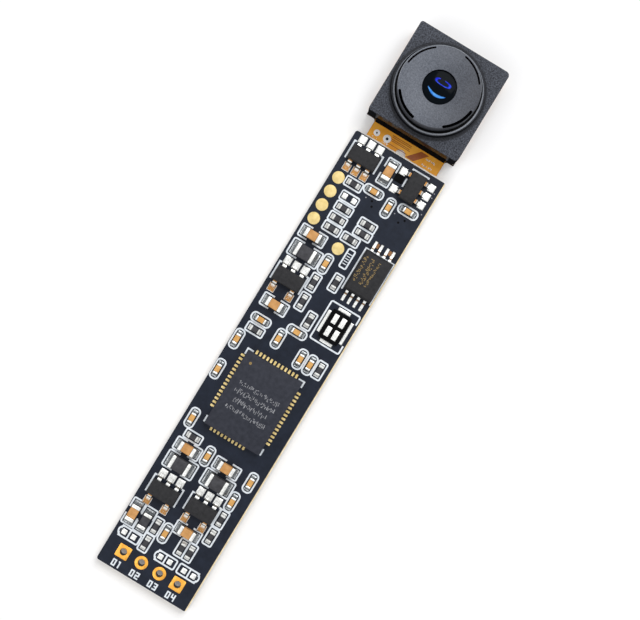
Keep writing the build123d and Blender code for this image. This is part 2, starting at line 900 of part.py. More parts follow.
def aperture_ring():
    ring = Circle(front_bore - lens_clearance) - Circle(aperture_radius)
    return on_axis(Pos(0, 0, middle_seat) * extrude(ring, aperture_thickness))


def second_element():
    return lens_element(middle_bore - lens_clearance, middle_seat - second_thickness, middle_seat,
                        second_clear_radius, second_bulge, -second_hollow)


def third_element():
    return lens_element(middle_bore - lens_clearance, rear_seat, middle_seat - second_thickness - element_gap,
                        third_clear_radius, -third_back_hollow, -third_hollow)


def rear_element():
    return lens_element(rear_bore - lens_clearance, barrel_rear + ring_thickness, rear_seat,
                        rear_clear_radius, rear_bulge, 0)


def retaining_ring():
    ring = Circle(rear_bore - lens_clearance) - Circle(ring_inner_radius)
    return on_axis(Pos(0, 0, barrel_rear) * extrude(ring, ring_thickness))


def build():
    os.makedirs("parts", exist_ok=True)
    save("circuit_board", circuit_board())
    save("coat_front", coat_front())
    save("coat_back", coat_back())
    wire_pads = [wire_pad(i, x, y) for i, (x, y) in enumerate(wire_positions())]
    save("wire_pads", *wire_pads)
    save("test_pads", *test_pads())

    families = {
        "resistor": (resistor_size, resistor_places.values()),
        "small_capacitor": (small_capacitor_size, small_capacitor_places.values()),
        "large_capacitor": (large_capacitor_size, large_capacitor_places.values()),
        "inductor": (inductor_size, inductor_places.values()),
        "bead": (bead_size, [bead_place]),
    }
    lands = {}
    for family, (size, places) in families.items():
        save(f"{family}_body", *place_all(chip_body, size, places))
        save(f"{family}_ends", *place_all(chip_ends, size, places))
        lands[family] = place_all(chip_lands, size, places)

    regulators = list(regulator_places.values())
    save("regulator_body", *[piece for place in regulators for piece in seat(place, [outline_body()])])
    save("regulator_leads", *[piece for place in regulators for piece in seat(place, outline_leads(False))])
    lands["regulator"] = [piece for place in regulators for piece in seat(place, outline_pads(False))]
    save("driver_body", *seat(driver_place, [outline_body()]))
    save("driver_leads", *seat(driver_place, outline_leads(True)))
    lands["driver"] = seat(driver_place, outline_pads(True))
    save("switch_body", *seat(switch_place, [outline_body()]))
    save("switch_leads", *seat(switch_place, [Rot(0, 0, 180) * lead for lead in outline_leads(False)]))
    lands["switch"] = seat(switch_place, [Rot(0, 0, 180) * pad for pad in outline_pads(False)])
    save("memory_body", *seat(memory_place, [memory_body()]))
    save("memory_leads", *seat(memory_place, memory_leads()))
    lands["memory"] = seat(memory_place, memory_pads())
    save("controller_body", *seat(controller_place, [controller_body()]))
    lands["controller"] = seat(controller_place, controller_lands())
    save("choke_body", *seat(choke_place, [choke_body()]))
    save("choke_terminals", *seat(choke_place, choke_terminals()))
    lands["choke"] = seat(choke_place, choke_lands())
    bare = list(jumper_places.values()) + [spare_place]
    lands["jumper"] = [piece for place in bare for piece in seat(place, jumper_lands())]
    for family, pieces in lands.items():
        save(f"{family}_lands", *pieces)
    soldered = [piece for pieces in lands.values() for piece in pieces]
    save("legend_print", legend_print(soldered + test_pads() + wire_pads))

    save("flex_strip", flex_strip())
    save("flex_traces", flex_traces())
    save("flex_print", flex_print())
    save("flex_joints", *flex_joints())
    save("fixing_bead", fixing_bead())
    save("head_stiffener", head_stiffener())
    save("sensor_balls", *sensor_balls())
    save("image_sensor", image_sensor())
    save("holder_glue", holder_glue())
    save("lens_holder", lens_holder())
    save("infrared_filter", infrared_filter())
    save("lens_barrel", lens_barrel())
    save("front_element", front_element())
    save("aperture_ring", aperture_ring())
    save("second_element", second_element())
    save("third_element", third_element())
    save("rear_element", rear_element())
    save("retaining_ring", retaining_ring())


build()
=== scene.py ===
import json
import math
import random

import bmesh
import bpy
from mathutils import Matrix, Vector, noise


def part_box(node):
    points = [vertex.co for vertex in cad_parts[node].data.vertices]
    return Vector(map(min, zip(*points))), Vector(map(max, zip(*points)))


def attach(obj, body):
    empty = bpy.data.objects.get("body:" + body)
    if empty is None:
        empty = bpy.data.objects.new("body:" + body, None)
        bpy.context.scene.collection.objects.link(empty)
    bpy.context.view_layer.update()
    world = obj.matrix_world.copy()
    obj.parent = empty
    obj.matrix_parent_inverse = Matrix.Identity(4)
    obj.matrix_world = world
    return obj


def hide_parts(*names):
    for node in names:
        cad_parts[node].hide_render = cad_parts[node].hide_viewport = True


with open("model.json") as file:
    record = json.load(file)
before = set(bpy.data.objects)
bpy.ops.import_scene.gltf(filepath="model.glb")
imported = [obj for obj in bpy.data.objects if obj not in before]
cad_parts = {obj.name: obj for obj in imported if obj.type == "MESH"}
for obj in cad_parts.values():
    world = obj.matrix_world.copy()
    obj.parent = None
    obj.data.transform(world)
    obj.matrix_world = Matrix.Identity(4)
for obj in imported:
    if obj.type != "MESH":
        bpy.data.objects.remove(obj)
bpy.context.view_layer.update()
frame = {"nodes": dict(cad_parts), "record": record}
nodes = frame["nodes"]
mm = 0.001
near = 1e-4  # millimetres; what lies closer than this counts as in one place
past = 1.0  # millimetres by which a cutter stands out of what it cuts


def inMillimetres(corners):
    return [corner / mm for corner in corners]


holderLow, holderHigh = inMillimetres(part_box("lens_holder"))
barrelLow, barrelHigh = inMillimetres(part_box("lens_barrel"))
lensAxis = (barrelLow + barrelHigh) / 2
filmAcross = 0.23  # the film's middle lies this far to +X of the lens axis
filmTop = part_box("flex_strip")[1].z / mm
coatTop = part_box("coat_front")[1].z / mm
print("frame loaded:", len(nodes), "nodes")


# small helpers: pieces are shaped in millimetres and brought to metres when they are placed

def deselectAll():
    if bpy.context.object and bpy.context.object.mode != "OBJECT":
        bpy.ops.object.mode_set(mode="OBJECT")
    bpy.ops.object.select_all(action="DESELECT")


def applied():
    # the active object, with its place, turn and size brought into its mesh
    bpy.ops.object.transform_apply(location=True, rotation=True, scale=True)
    return bpy.context.object


def startCube(size, place=(0, 0, 0)):
    # the place is the middle of the bottom face
    deselectAll()
    centre = (place[0], place[1], place[2] + size[2] / 2)
    bpy.ops.mesh.primitive_cube_add(size=1, location=centre, scale=size)
    return applied()


def startDrum(radius, height, place=(0, 0, 0), sides=96):
    deselectAll()
    centre = (place[0], place[1], place[2] + height / 2)
    bpy.ops.mesh.primitive_cylinder_add(vertices=sides, radius=radius, depth=height, location=centre)
    return applied()


def edit(piece):
    deselectAll()
    piece.select_set(True)
    bpy.context.view_layer.objects.active = piece
    bpy.ops.object.mode_set(mode="EDIT")


def done():
    bpy.ops.object.mode_set(mode="OBJECT")


def pick(piece, kind, test):
    # in edit mode: only the vertices, edges or faces that pass the test stay selected
    bpy.ops.mesh.select_mode(type=kind)
    bpy.ops.mesh.select_all(action="DESELECT")
    mesh = bmesh.from_edit_mesh(piece.data)
    for item in {"VERT": mesh.verts, "EDGE": mesh.edges, "FACE": mesh.faces}[kind]:
        if test(item):
            item.select_set(True)
    mesh.select_flush_mode()
    bmesh.update_edit_mesh(piece.data)


def upright(edge):
    # true for an edge that runs along Z
    run = edge.verts[1].co - edge.verts[0].co
    return abs(run.x) < near and abs(run.y) < near


def rimOf(edge, z):
    return all(abs(v.co.z - z) < near for v in edge.verts)


def facesUp(face):
    return face.normal.z > 0.9


def bevelEdges(piece, test, width, segments=2):
    edit(piece)
    pick(piece, "EDGE", test)
    bpy.ops.mesh.bevel(offset=width, segments=segments, affect="EDGES", clamp_overlap=True)
    done()


def cutWith(piece, tool, operation="DIFFERENCE"):
    deselectAll()
    bpy.context.view_layer.objects.active = piece
    cut = piece.modifiers.new("cut", "BOOLEAN")
    cut.object = tool
    cut.operation = operation
    cut.solver = "EXACT"
    bpy.ops.object.modifier_apply(modifier=cut.name)
    bpy.data.objects.remove(tool)


def spinProfile(points, steps=96, centre=(0, 0), closed=True):
    # a profile of (radius, height) turned about the upright axis; an open one starts and ends on the axis
    deselectAll()
    outline = bpy.data.meshes.new("profile")
    corners = [(centre[0] + r, centre[1], z) for r, z in points]
    count = len(points) if closed else len(points) - 1
    edges = [(i, (i + 1) % len(points)) for i in range(count)]
    outline.from_pydata(corners, edges, [])
    piece = bpy.data.objects.new("turned", outline)
    bpy.context.collection.objects.link(piece)
    edit(piece)
    bpy.ops.mesh.select_all(action="SELECT")
    bpy.ops.mesh.spin(steps=steps, angle=math.tau, center=(centre[0], centre[1], 0), axis=(0, 0, 1))
    bpy.ops.mesh.select_all(action="SELECT")
    bpy.ops.mesh.remove_doubles(threshold=1e-5)
    bpy.ops.mesh.normals_make_consistent(inside=False)
    done()
    return piece


def smooth(piece, angle):
    deselectAll()
    piece.select_set(True)
    bpy.context.view_layer.objects.active = piece
    bpy.ops.object.shade_smooth_by_angle(angle=math.radians(angle))


def joinAll(pieces):
    deselectAll()
    for piece in pieces:
        piece.select_set(True)
    bpy.context.view_layer.objects.active = pieces[0]
    if len(pieces) > 1:
        bpy.ops.object.join()
    return bpy.context.view_layer.objects.active


def settle(piece, name, slotName, *replaced, finish=None, angle=None):
    # the piece gets its name, its finish and its place on the module; it is smoothed up to a given angle
    if angle:
        smooth(piece, angle)
    piece.data.transform(Matrix.Scale(mm, 4))
    piece.name = name
    piece.data.name = name
    piece.data.materials.clear()
    piece.data.materials.append(finishes[finish or slotName])
    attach(piece, "root")
    if replaced:
        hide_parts(*replaced)
    return piece


def solidBoxes(nodeName):
    # the low and high corner of each solid in a CAD node, in millimetres
    mesh = bmesh.new()
    mesh.from_mesh(nodes[nodeName].data)
    bmesh.ops.remove_doubles(mesh, verts=mesh.verts, dist=2e-7)
    left = set(mesh.verts)
    boxes = []
    while left:
        island, reach = [], [left.pop()]
        while reach:
            vert = reach.pop()
            island.append(vert.co / mm)
            for edge in vert.link_edges:
                other = edge.other_vert(vert)
                if other in left:
                    left.remove(other)
                    reach.append(other)
        boxes.append([Vector([end(co[k] for co in island) for k in range(3)]) for end in (min, max)])
    mesh.free()
    return sorted(boxes, key=lambda box: (round(box[0].y, 3), round(box[0].x, 3)))


def middle(box):
    return (box[0] + box[1]) / 2


def outward(box, bodies):
    # the body that a terminal, lead or land belongs to, and the turn that points away from it
    mid = middle(box)

    def beyond(body):
        return (max(body[0].x - mid.x, mid.x - body[1].x), max(body[0].y - mid.y, mid.y - body[1].y))

    owner = min(range(len(bodies)), key=lambda i: Vector([max(0, gap) for gap in beyond(bodies[i])]).length)
    body = bodies[owner]
    across, along = beyond(body)
    if across > along:
        turn = -90 if mid.x > middle(body).x else 90
    else:
        turn = 0 if mid.y > middle(body).y else 180
    return owner, turn


def placeAt(box, turn):
    mid = middle(box)
    return Matrix.Translation((mid.x, mid.y, box[0].z)) @ Matrix.Rotation(math.radians(turn), 4, "Z")


def sizeOf(box, turn):
    size = box[1] - box[0]
    return Vector((size.y, size.x, size.z)) if turn % 180 else size


def readFamily(bodyNode, *outerNodes):
    # the places and sizes of a family of chips: its bodies, and what points outwards from each of them
    bodies = solidBoxes(bodyNode)
    votes = [{} for body in bodies]
    rows = []
    for node in outerNodes:
        places = []
        for box in solidBoxes(node):
            owner, turn = outward(box, bodies)
            votes[owner][turn] = votes[owner].get(turn, 0) + 1
            places.append(placeAt(box, turn))
            size = sizeOf(box, turn)
        rows.append((places, size))
    turns = [max(sorted(vote), key=lambda turn: vote[turn]) for vote in votes]
    bodyRow = ([placeAt(box, turn) for box, turn in zip(bodies, turns)], sizeOf(bodies[0], turns[0]))
    return [bodyRow] + rows


def markPoints(mesh, name, test=lambda co: True):
    # a point value that a finish can read: 1 where the test holds
    layer = mesh.attributes.new(name, "FLOAT", "POINT")
    layer.data.foreach_set("value", [1.0 if test(v.co) else 0.0 for v in mesh.vertices])


def placeCopies(model, places, worn=None):
    # each copy has its own mesh, and they are joined into one piece; worn gives some copies a point value
    copies = []
    for place in places:
        copy = bpy.data.objects.new(model.name, model.data.copy())
        bpy.context.collection.objects.link(copy)
        if worn:
            name, pickCopy, test = worn
            markPoints(copy.data, name, test if pickCopy(place) else lambda co: False)
        copy.data.transform(place)
        copies.append(copy)
    bpy.data.objects.remove(model)
    return joinAll(copies)


def pointsDown(place):
    # true for a copy that points towards the plain end of the board
    return (place.to_3x3() @ Vector((0, 1, 0))).y < -0.5


def everyCopy(place):
    return True


# node helpers for the finishes

def tone(red, green, blue):
    # screen colour 0-255 to the linear value a shader wants
    def linear(c):
        c /= 255
        return c / 12.92 if c <= 0.04045 else ((c + 0.055) / 1.055) ** 2.4
    return (linear(red), linear(green), linear(blue), 1.0)


def newFinish(name, colour, roughness, metallic=0.0, gloss=0.5):
    mat = bpy.data.materials.new(name)
    mat.use_nodes = True
    sockets = mat.node_tree.nodes["Principled BSDF"].inputs
    sockets["Base Color"].default_value = colour
    sockets["Roughness"].default_value = roughness
    sockets["Metallic"].default_value = metallic
    sockets["Specular IOR Level"].default_value = gloss
    return mat


def addNode(mat, kind, **settings):
    node = mat.node_tree.nodes.new(kind)
    for key, value in settings.items():
        setattr(node, key, value)
    return node


def link(mat, fromSocket, toSocket):
    mat.node_tree.links.new(fromSocket, toSocket)


def drive(mat, fromSocket, name):
    # the named socket of the shader follows another node
    link(mat, fromSocket, mat.node_tree.nodes["Principled BSDF"].inputs[name])


def objectCoords(mat, stretch=(1, 1, 1)):
    coords = addNode(mat, "ShaderNodeTexCoord")
    mapping = addNode(mat, "ShaderNodeMapping")
    mapping.inputs["Scale"].default_value = stretch
    link(mat, coords.outputs["Object"], mapping.inputs["Vector"])
    return mapping.outputs["Vector"]


def noiseField(mat, vector, grain, detail=3.0, rough=0.55):
    # grain is the size of one blotch in millimetres
    field = addNode(mat, "ShaderNodeTexNoise")
    field.inputs["Scale"].default_value = 1 / (grain * mm)
    field.inputs["Detail"].default_value = detail
    field.inputs["Roughness"].default_value = rough
    link(mat, vector, field.inputs["Vector"])
    return field.outputs["Fac"]


def tintBetween(mat, field, dark, light, low=0.3, high=0.7):
    ramp = addNode(mat, "ShaderNodeValToRGB")
    for end, position, colour in zip(ramp.color_ramp.elements, (low, high), (dark, light)):
        end.position = position
        end.color = colour
    link(mat, field, ramp.inputs["Fac"])
    drive(mat, ramp.outputs["Color"], "Base Color")
    return ramp.outputs["Color"]


def roughBetween(mat, field, low, high):
    span = addNode(mat, "ShaderNodeMapRange")
    span.inputs["To Min"].default_value = low
    span.inputs["To Max"].default_value = high
    link(mat, field, span.inputs["Value"])
    drive(mat, span.outputs["Result"], "Roughness")


def bumpFrom(mat, field, height):
    # height of the relief in millimetres
    bump = addNode(mat, "ShaderNodeBump")
    bump.inputs["Strength"].default_value = 1.0
    bump.inputs["Distance"].default_value = height * mm
    link(mat, field, bump.inputs["Height"])
    drive(mat, bump.outputs["Normal"], "Normal")


def fineSurface(mat, vector, look):
    # fine grain for the relief and the gloss
    fine = noiseField(mat, vector, look["fineGrain"], 4.0)
    roughBetween(mat, fine, *look["rough"])
    bumpFrom(mat, fine, look["relief"])


def calc(mat, operation, first, second=0.0, third=0.0):
    # one sum of the node tree; each entry is a number or another node's output
    node = addNode(mat, "ShaderNodeMath", operation=operation)
    for socket, entry in zip(node.inputs, (first, second, third)):
        if isinstance(entry, (int, float)):
            socket.default_value = entry
        else:
            link(mat, entry, socket)
    return node.outputs[0]


def clamped(mat, value):
    return calc(mat, "MINIMUM", calc(mat, "MAXIMUM", value, 0.0), 1.0)


def blend(mat, share, first, second):
    # colour mix; each colour is a tone or another node's output
    node = addNode(mat, "ShaderNodeMix", data_type="RGBA")
    link(mat, share, node.inputs["Factor"])
    for name, entry in (("A", first), ("B", second)):
        if isinstance(entry, tuple):
            node.inputs[name].default_value = entry
        else:
            link(mat, entry, node.inputs[name])
    return node.outputs["Result"]


def between(mat, value, start, stop):
    # 0 before start, 1 past stop; with start above stop it runs the other way
    span = addNode(mat, "ShaderNodeMapRange")
    span.inputs["From Min"].default_value = start
    span.inputs["From Max"].default_value = stop
    link(mat, value, span.inputs["Value"])
    return span.outputs["Result"]


def levelFace(mat, low, high):
    # 0 on steep faces, 1 on level ones
    shape = addNode(mat, "ShaderNodeNewGeometry")
    split = addNode(mat, "ShaderNodeSeparateXYZ")
    link(mat, shape.outputs["Normal"], split.inputs["Vector"])
    return between(mat, calc(mat, "ABSOLUTE", split.outputs["Z"]), low, high)


def pointValue(mat, name):
    return addNode(mat, "ShaderNodeAttribute", attribute_name=name).outputs["Fac"]


def besideLens(mat, vector):
    # place beside the lens axis in millimetres, and the height in metres
    split = addNode(mat, "ShaderNodeSeparateXYZ")
    link(mat, vector, split.inputs["Vector"])
    x = calc(mat, "MULTIPLY_ADD", split.outputs["X"], 1 / mm, -lensAxis.x)
    y = calc(mat, "MULTIPLY_ADD", split.outputs["Y"], 1 / mm, -lensAxis.y)
    return x, y, split.outputs["Z"]


def aroundLens(mat, vector):
    # place beside the lens axis, distance from it and height, all in millimetres
    x, y, z = besideLens(mat, vector)
    reach = calc(mat, "SQRT", calc(mat, "MULTIPLY_ADD", x, x, calc(mat, "MULTIPLY", y, y)))
    return x, y, reach, calc(mat, "MULTIPLY", z, 1 / mm)


def fromFilmMiddle(mat, x):
    return calc(mat, "ABSOLUTE", calc(mat, "ADD", x, -filmAcross))


shadeLook = {"across": -0.045, "along": 0.1, "least": 0.5}


def shadeLean(mat, x, y, reach):
    # in millimetres: below 0 on the side of the lens that faces the plain end, above 0 across from it
    across = calc(mat, "MULTIPLY_ADD", x, shadeLook["across"], calc(mat, "MULTIPLY", y, shadeLook["along"]))
    return calc(mat, "DIVIDE", across, calc(mat, "MAXIMUM", reach, shadeLook["least"]))


# the finishes: measures are millimetres; two tones are the darker and the lighter one, two lengths are where
# a mask starts and where it is full, and specks, edges and cloud shares are a factor and what is added to it

tinLook = {
    "plain": (tone(184, 185, 182), tone(228, 229, 227)),
    "solder": (tone(62, 66, 70), tone(196, 200, 202)),
    # painted shade: the tone of steep faces
    "sides": tone(84, 76, 64),
    "copper": tone(158, 112, 56),
    "metallic": 0.85,
    "brightMetallic": 0.25,
    "grain": 0.08,
    "tintSpan": (0.35, 0.6),
    "level": (0.3, 0.7),
    "specks": (4.0, -1.5),
    "copperSpots": (0.32, 0.44),
    "fineGrain": 0.07,
    "rough": (0.25, 0.5),
    "relief": 0.01,
}
holderLook = {
    "weave": (tone(22, 24, 30), tone(88, 92, 102)),
    "weaveGrain": 0.13,
    "weaveSpan": (0.32, 0.68),
    "worn": tone(40, 42, 48),
    "wornGrain": 0.9,
    "wornShare": 0.3,
    "level": (0.3, 0.8),
    # painted shade: the tone of steep faces
    "wallShade": tone(26, 27, 30),
    "wallRough": 0.22,
    "topRough": 0.64,
    "topGloss": 0.22,
    # painted highlight on the collar's rim
    "rimHighlight": tone(150, 154, 162),
    "rimHighlightShare": 0.85,
    "rimInside": (4.04, 4.08),
    "rimOutside": (4.22, 4.16),
    "rimDepth": (0.08, 0.02),
    # painted shade inside the collar
    "grooveShade": tone(5, 5, 7),
    "grooveInside": (4.06, 4.03),
    "grooveOutside": (4.3, 4.2),
    # painted shade round the collar's foot
    "collarFootShade": tone(14, 15, 18),
    "creaseShare": 0.7,
    "creaseInside": (4.2, 4.27),
    "creaseOutside": (4.66, 4.5),
    "filmWallDepth": (0.03, 0.01),
    "filmWallReach": (4.0, 3.8),
    "filmWallGloss": 0.04,
    "relief": 0.04,
}
barrelLook = {
    # the front's tones, and the darker tones of its painted shade towards one side
    "light": (tone(76, 80, 89), tone(107, 112, 122)),
    "dark": (tone(48, 50, 57), tone(74, 77, 85)),
    "grain": 0.1,
    "grainSpan": (0.34, 0.66),
    "sideShade": (-1.5, 3.8),
    "sideShadeTurn": 0.35,
    # painted highlight on the rim
    "rimHighlight": tone(150, 154, 162),
    "rimHighlightShare": 0.7,
    "rimInside": (3.82, 3.86),
    "rimOutside": (3.88, 3.84),
    "shade": tone(50, 52, 58),
    "shadeReach": (3.86, 3.89),
    # painted shade deep in the slots
    "pitch": tone(3, 3, 4),
    "slotDepth": (0.01, 0.03),
    "slotReach": (3.87, 3.85),
    "gloss": 0.3,
    "rough": (0.45, 0.6),
    "relief": 0.006,
}
glassLook = {
    "ground": (tone(6, 9, 14), tone(13, 19, 24)),
    # tones of the painted reflections
    "deepBlue": (tone(22, 24, 216), tone(48, 84, 232)),
    "paleBlue": (tone(40, 116, 214), tone(92, 162, 234)),
    "cloudGrain": 0.5,
    "cloudShare": (3.0, -1.0),
    "crescent": (-0.825, -0.058, 0.364),  # its level on the axis, its lean and its bow
    "crescentReach": 0.98,
    "crescentWidth": 0.14,
    "crescentEdge": (16.0, 0.2),
    "crescentTip": (0.0, 0.04),
    "loopPlace": (0.1, 0.51),  # across and along
    "loopReach": (0.74, 0.25),  # across and along
    "loopPower": 2.6,
    "loopLevel": 0.95,
    "loopWidth": 0.5,
    "loopEdge": (2.2, 0.1),
    "gapAbove": 0.35,
    "gapAcross": 0.06,
    "gapWidth": 0.24,
}
filmLook = {
    "amber": (tone(234, 156, 42), tone(252, 186, 74)),
    # painted shade on the flaps beside the neck
    "earShade": tone(52, 40, 30),
    "grain": 1.2,
    "earReach": (3.84, 3.94),
    "earDepth": (0.5, 0.2),
    "fineGrain": 0.5,
    "rough": (0.25, 0.38),
    "relief": 0.003,
}
wirePadLook = {
    "gold": (tone(214, 148, 52), tone(244, 184, 82)),
    # painted shade on the sides of the holes
    "holeWallShade": tone(34, 28, 20),
    "grain": 0.6,
    "level": (0.1, 0.6),
    "fineGrain": 0.15,
    "rough": (0.3, 0.5),
    "relief": 0.008,
}


def grainyFinish(name, dark, light, grain, rough, relief, metallic=0.0, gloss=0.5, stretch=(1, 1, 1)):
    # two noises: slow blotches for the colour, fine grain for the relief and the gloss
    dark, light = tone(*dark), tone(*light)
    mat = newFinish(name, light, rough[0], metallic, gloss)
    vector = objectCoords(mat, stretch)
    tintBetween(mat, noiseField(mat, vector, grain * 4), dark, light)
    fineSurface(mat, vector, {"fineGrain": grain, "rough": rough, "relief": relief})
    return mat


def tinFinish():
    # bright plating, dull grainy solder or bare copper where a point value says so, and painted shade on
    # steep sides
    look = tinLook
    mat = newFinish("tin", tone(240, 241, 242), 0.35, look["metallic"])
    vector = objectCoords(mat)
    grain = noiseField(mat, vector, look["grain"], 5.0, 0.6)
    plain = tintBetween(mat, grain, *look["plain"], *look["tintSpan"])
    bright = pointValue(mat, "bright")
    step = look["brightMetallic"] - look["metallic"]
    drive(mat, calc(mat, "MULTIPLY_ADD", bright, step, look["metallic"]), "Metallic")
    # painted shade: steep faces take the sides tone, except where the point value bright is set
    lit = calc(mat, "MAXIMUM", levelFace(mat, *look["level"]), bright)
    sides = blend(mat, lit, look["sides"], plain)
    solderTone = blend(mat, calc(mat, "MULTIPLY_ADD", grain, *look["specks"]), *look["solder"])
    dulled = blend(mat, pointValue(mat, "dull"), sides, solderTone)
    bare = calc(mat, "MULTIPLY", pointValue(mat, "bare"), between(mat, grain, *look["copperSpots"]))
    drive(mat, blend(mat, bare, dulled, look["copper"]), "Base Color")
    fineSurface(mat, vector, look)
    return mat


def holderFinish():
    # grained top, painted shade on the steep sides, a painted highlight on the collar's rim and painted shade
    # inside the collar and round its foot, all leaning to the plain end, and on the wall above the film a
    # slight gloss that mirrors it
    look = holderLook
    mat = newFinish("holderPlastic", tone(60, 62, 70), 0.6, gloss=look["topGloss"])
    vector = objectCoords(mat)
    weave = noiseField(mat, vector, look["weaveGrain"], 2.0, 0.6)
    slow = noiseField(mat, vector, look["wornGrain"], 3.0)
    base = blend(mat, between(mat, weave, *look["weaveSpan"]), *look["weave"])
    base = blend(mat, calc(mat, "MULTIPLY", slow, look["wornShare"]), base, look["worn"])
    x, y, reach, height = aroundLens(mat, vector)
    up = levelFace(mat, *look["level"])
    # painted shade: steep faces take a darker tone than the level top
    base = blend(mat, up, look["wallShade"], base)
    lean = shadeLean(mat, x, y, reach)
    inner = calc(mat, "ADD", reach, lean)
    outer = calc(mat, "MULTIPLY_ADD", lean, 2.0, reach)
    # painted highlight: a lighter ring on the collar's rim
    rimInside = between(mat, inner, *look["rimInside"])
    rim = calc(mat, "MULTIPLY", rimInside, between(mat, inner, *look["rimOutside"]))
    atTop = between(mat, height, *[holderHigh.z - depth for depth in look["rimDepth"]])
    rim = calc(mat, "MULTIPLY", rim, atTop)
    # painted shade: a near-black ring inside the collar, next to the barrel
    beside = between(mat, inner, *look["grooveInside"])
    grooveShade = calc(mat, "MULTIPLY", beside, between(mat, reach, *look["grooveOutside"]))
    # painted shade: a darker ring round the collar's foot
    foot = between(mat, inner, *look["creaseInside"])
    collarFootShade = calc(mat, "MULTIPLY", foot, between(mat, outer, *look["creaseOutside"]))
    colour = blend(mat, calc(mat, "MULTIPLY", collarFootShade, look["creaseShare"]), base, look["collarFootShade"])
    colour = blend(mat, calc(mat, "MULTIPLY", rim, look["rimHighlightShare"]), colour, look["rimHighlight"])
    colour = blend(mat, grooveShade, colour, look["grooveShade"])
    front = holderLow.y - lensAxis.y
    onWall = between(mat, y, *[front + depth for depth in look["filmWallDepth"]])
    overFilm = between(mat, fromFilmMiddle(mat, x), *look["filmWallReach"])
    mirrors = calc(mat, "MULTIPLY", onWall, overFilm)
    drive(mat, colour, "Base Color")
    step = look["topRough"] - look["wallRough"]
    drive(mat, calc(mat, "MULTIPLY_ADD", up, step, look["wallRough"]), "Roughness")
    topGloss = calc(mat, "MULTIPLY", up, look["topGloss"])
    drive(mat, calc(mat, "MULTIPLY_ADD", mirrors, look["filmWallGloss"], topGloss), "Specular IOR Level")
    bumpFrom(mat, calc(mat, "MULTIPLY", weave, up), look["relief"])
    return mat


def barrelFinish():
    # fine even grain, painted shade towards one side, a painted highlight on the rim with painted shade on
    # its far side, and painted shade that makes the slots pitch-dark
    look = barrelLook
    mat = newFinish("barrelPlastic", tone(90, 93, 102), 0.5, gloss=look["gloss"])
    vector = objectCoords(mat)
    grain = between(mat, noiseField(mat, vector, look["grain"], 2.0, 0.6), *look["grainSpan"])
    x, y, reach, height = aroundLens(mat, vector)
    # painted shade: the front darkens towards one side
    light = blend(mat, grain, *look["light"])
    dark = blend(mat, grain, *look["dark"])
    towards = calc(mat, "MULTIPLY_ADD", y, look["sideShadeTurn"], x)
    toned = blend(mat, between(mat, towards, *look["sideShade"]), light, dark)
    # painted highlight on the rim, and painted shade on its far side
    shaded = calc(mat, "SUBTRACT", reach, shadeLean(mat, x, y, reach))
    rimInside = between(mat, reach, *look["rimInside"])
    rim = calc(mat, "MULTIPLY", rimInside, between(mat, shaded, *look["rimOutside"]))
    colour = blend(mat, calc(mat, "MULTIPLY", rim, look["rimHighlightShare"]), toned, look["rimHighlight"])
    colour = blend(mat, between(mat, shaded, *look["shadeReach"]), colour, look["shade"])
    # painted shade: the slots turn pitch-dark below the front
    below = between(mat, height, *[barrelHigh.z - depth for depth in look["slotDepth"]])
    deep = calc(mat, "MULTIPLY", below, between(mat, reach, *look["slotReach"]))
    pitch = blend(mat, deep, colour, look["pitch"])
    drive(mat, calc(mat, "MULTIPLY_ADD", deep, -look["gloss"], look["gloss"]), "Specular IOR Level")
    drive(mat, pitch, "Base Color")
    roughBetween(mat, grain, *look["rough"])
    bumpFrom(mat, grain, look["relief"])
    return mat


def glassFinish():
    # near-black coated glass with painted blue reflections: a crescent and an open loop
    look = glassLook
    mat = newFinish("lensGlass", tone(8, 12, 20), 0.08, gloss=0.02)
    vector = objectCoords(mat)
    x, y = besideLens(mat, vector)[:2]
    squareX = calc(mat, "MULTIPLY", x, x)
    # painted reflection: a pale blue crescent
    level, lean, bow = look["crescent"]
    curve = calc(mat, "MULTIPLY_ADD", squareX, bow, calc(mat, "MULTIPLY_ADD", x, lean, level))
    off = calc(mat, "ABSOLUTE", calc(mat, "SUBTRACT", y, curve))
    taper = calc(mat, "MULTIPLY_ADD", squareX, -1 / look["crescentReach"] ** 2, 1.0)
    taper = calc(mat, "MAXIMUM", taper, 0.0)
    width = calc(mat, "MULTIPLY", calc(mat, "SQRT", taper), look["crescentWidth"])
    crescent = calc(mat, "MULTIPLY_ADD", calc(mat, "SUBTRACT", width, off), *look["crescentEdge"])
    crescent = clamped(mat, calc(mat, "MULTIPLY", crescent, between(mat, taper, *look["crescentTip"])))
    # painted reflection: a deep blue open loop, with a gap in it
    wide = []
    for axis, place, size in zip((x, y), look["loopPlace"], look["loopReach"]):
        wide.append(calc(mat, "MULTIPLY_ADD", axis, 1 / size, -place / size))
    powers = [calc(mat, "POWER", calc(mat, "ABSOLUTE", axis), look["loopPower"]) for axis in wide]
    around = calc(mat, "ADD", *powers)
    fromLine = calc(mat, "ABSOLUTE", calc(mat, "SUBTRACT", around, look["loopLevel"]))
    loop = calc(mat, "SUBTRACT", look["loopWidth"], fromLine)
    above = calc(mat, "GREATER_THAN", wide[1], look["gapAbove"])
    fromGap = calc(mat, "ABSOLUTE", calc(mat, "ADD", x, look["gapAcross"]))
    gap = calc(mat, "MULTIPLY", above, calc(mat, "LESS_THAN", fromGap, look["gapWidth"]))
    loop = clamped(mat, calc(mat, "SUBTRACT", calc(mat, "MULTIPLY_ADD", loop, *look["loopEdge"]), gap))
    cloud = noiseField(mat, vector, look["cloudGrain"], 2.0)
    deepBlue = blend(mat, calc(mat, "MULTIPLY_ADD", cloud, *look["cloudShare"]), *look["deepBlue"])
    paleBlue = blend(mat, calc(mat, "MULTIPLY_ADD", cloud, *look["cloudShare"]), *look["paleBlue"])
    ground = blend(mat, cloud, *look["ground"])
    drive(mat, blend(mat, crescent, blend(mat, loop, ground, deepBlue), paleBlue), "Base Color")
    return mat


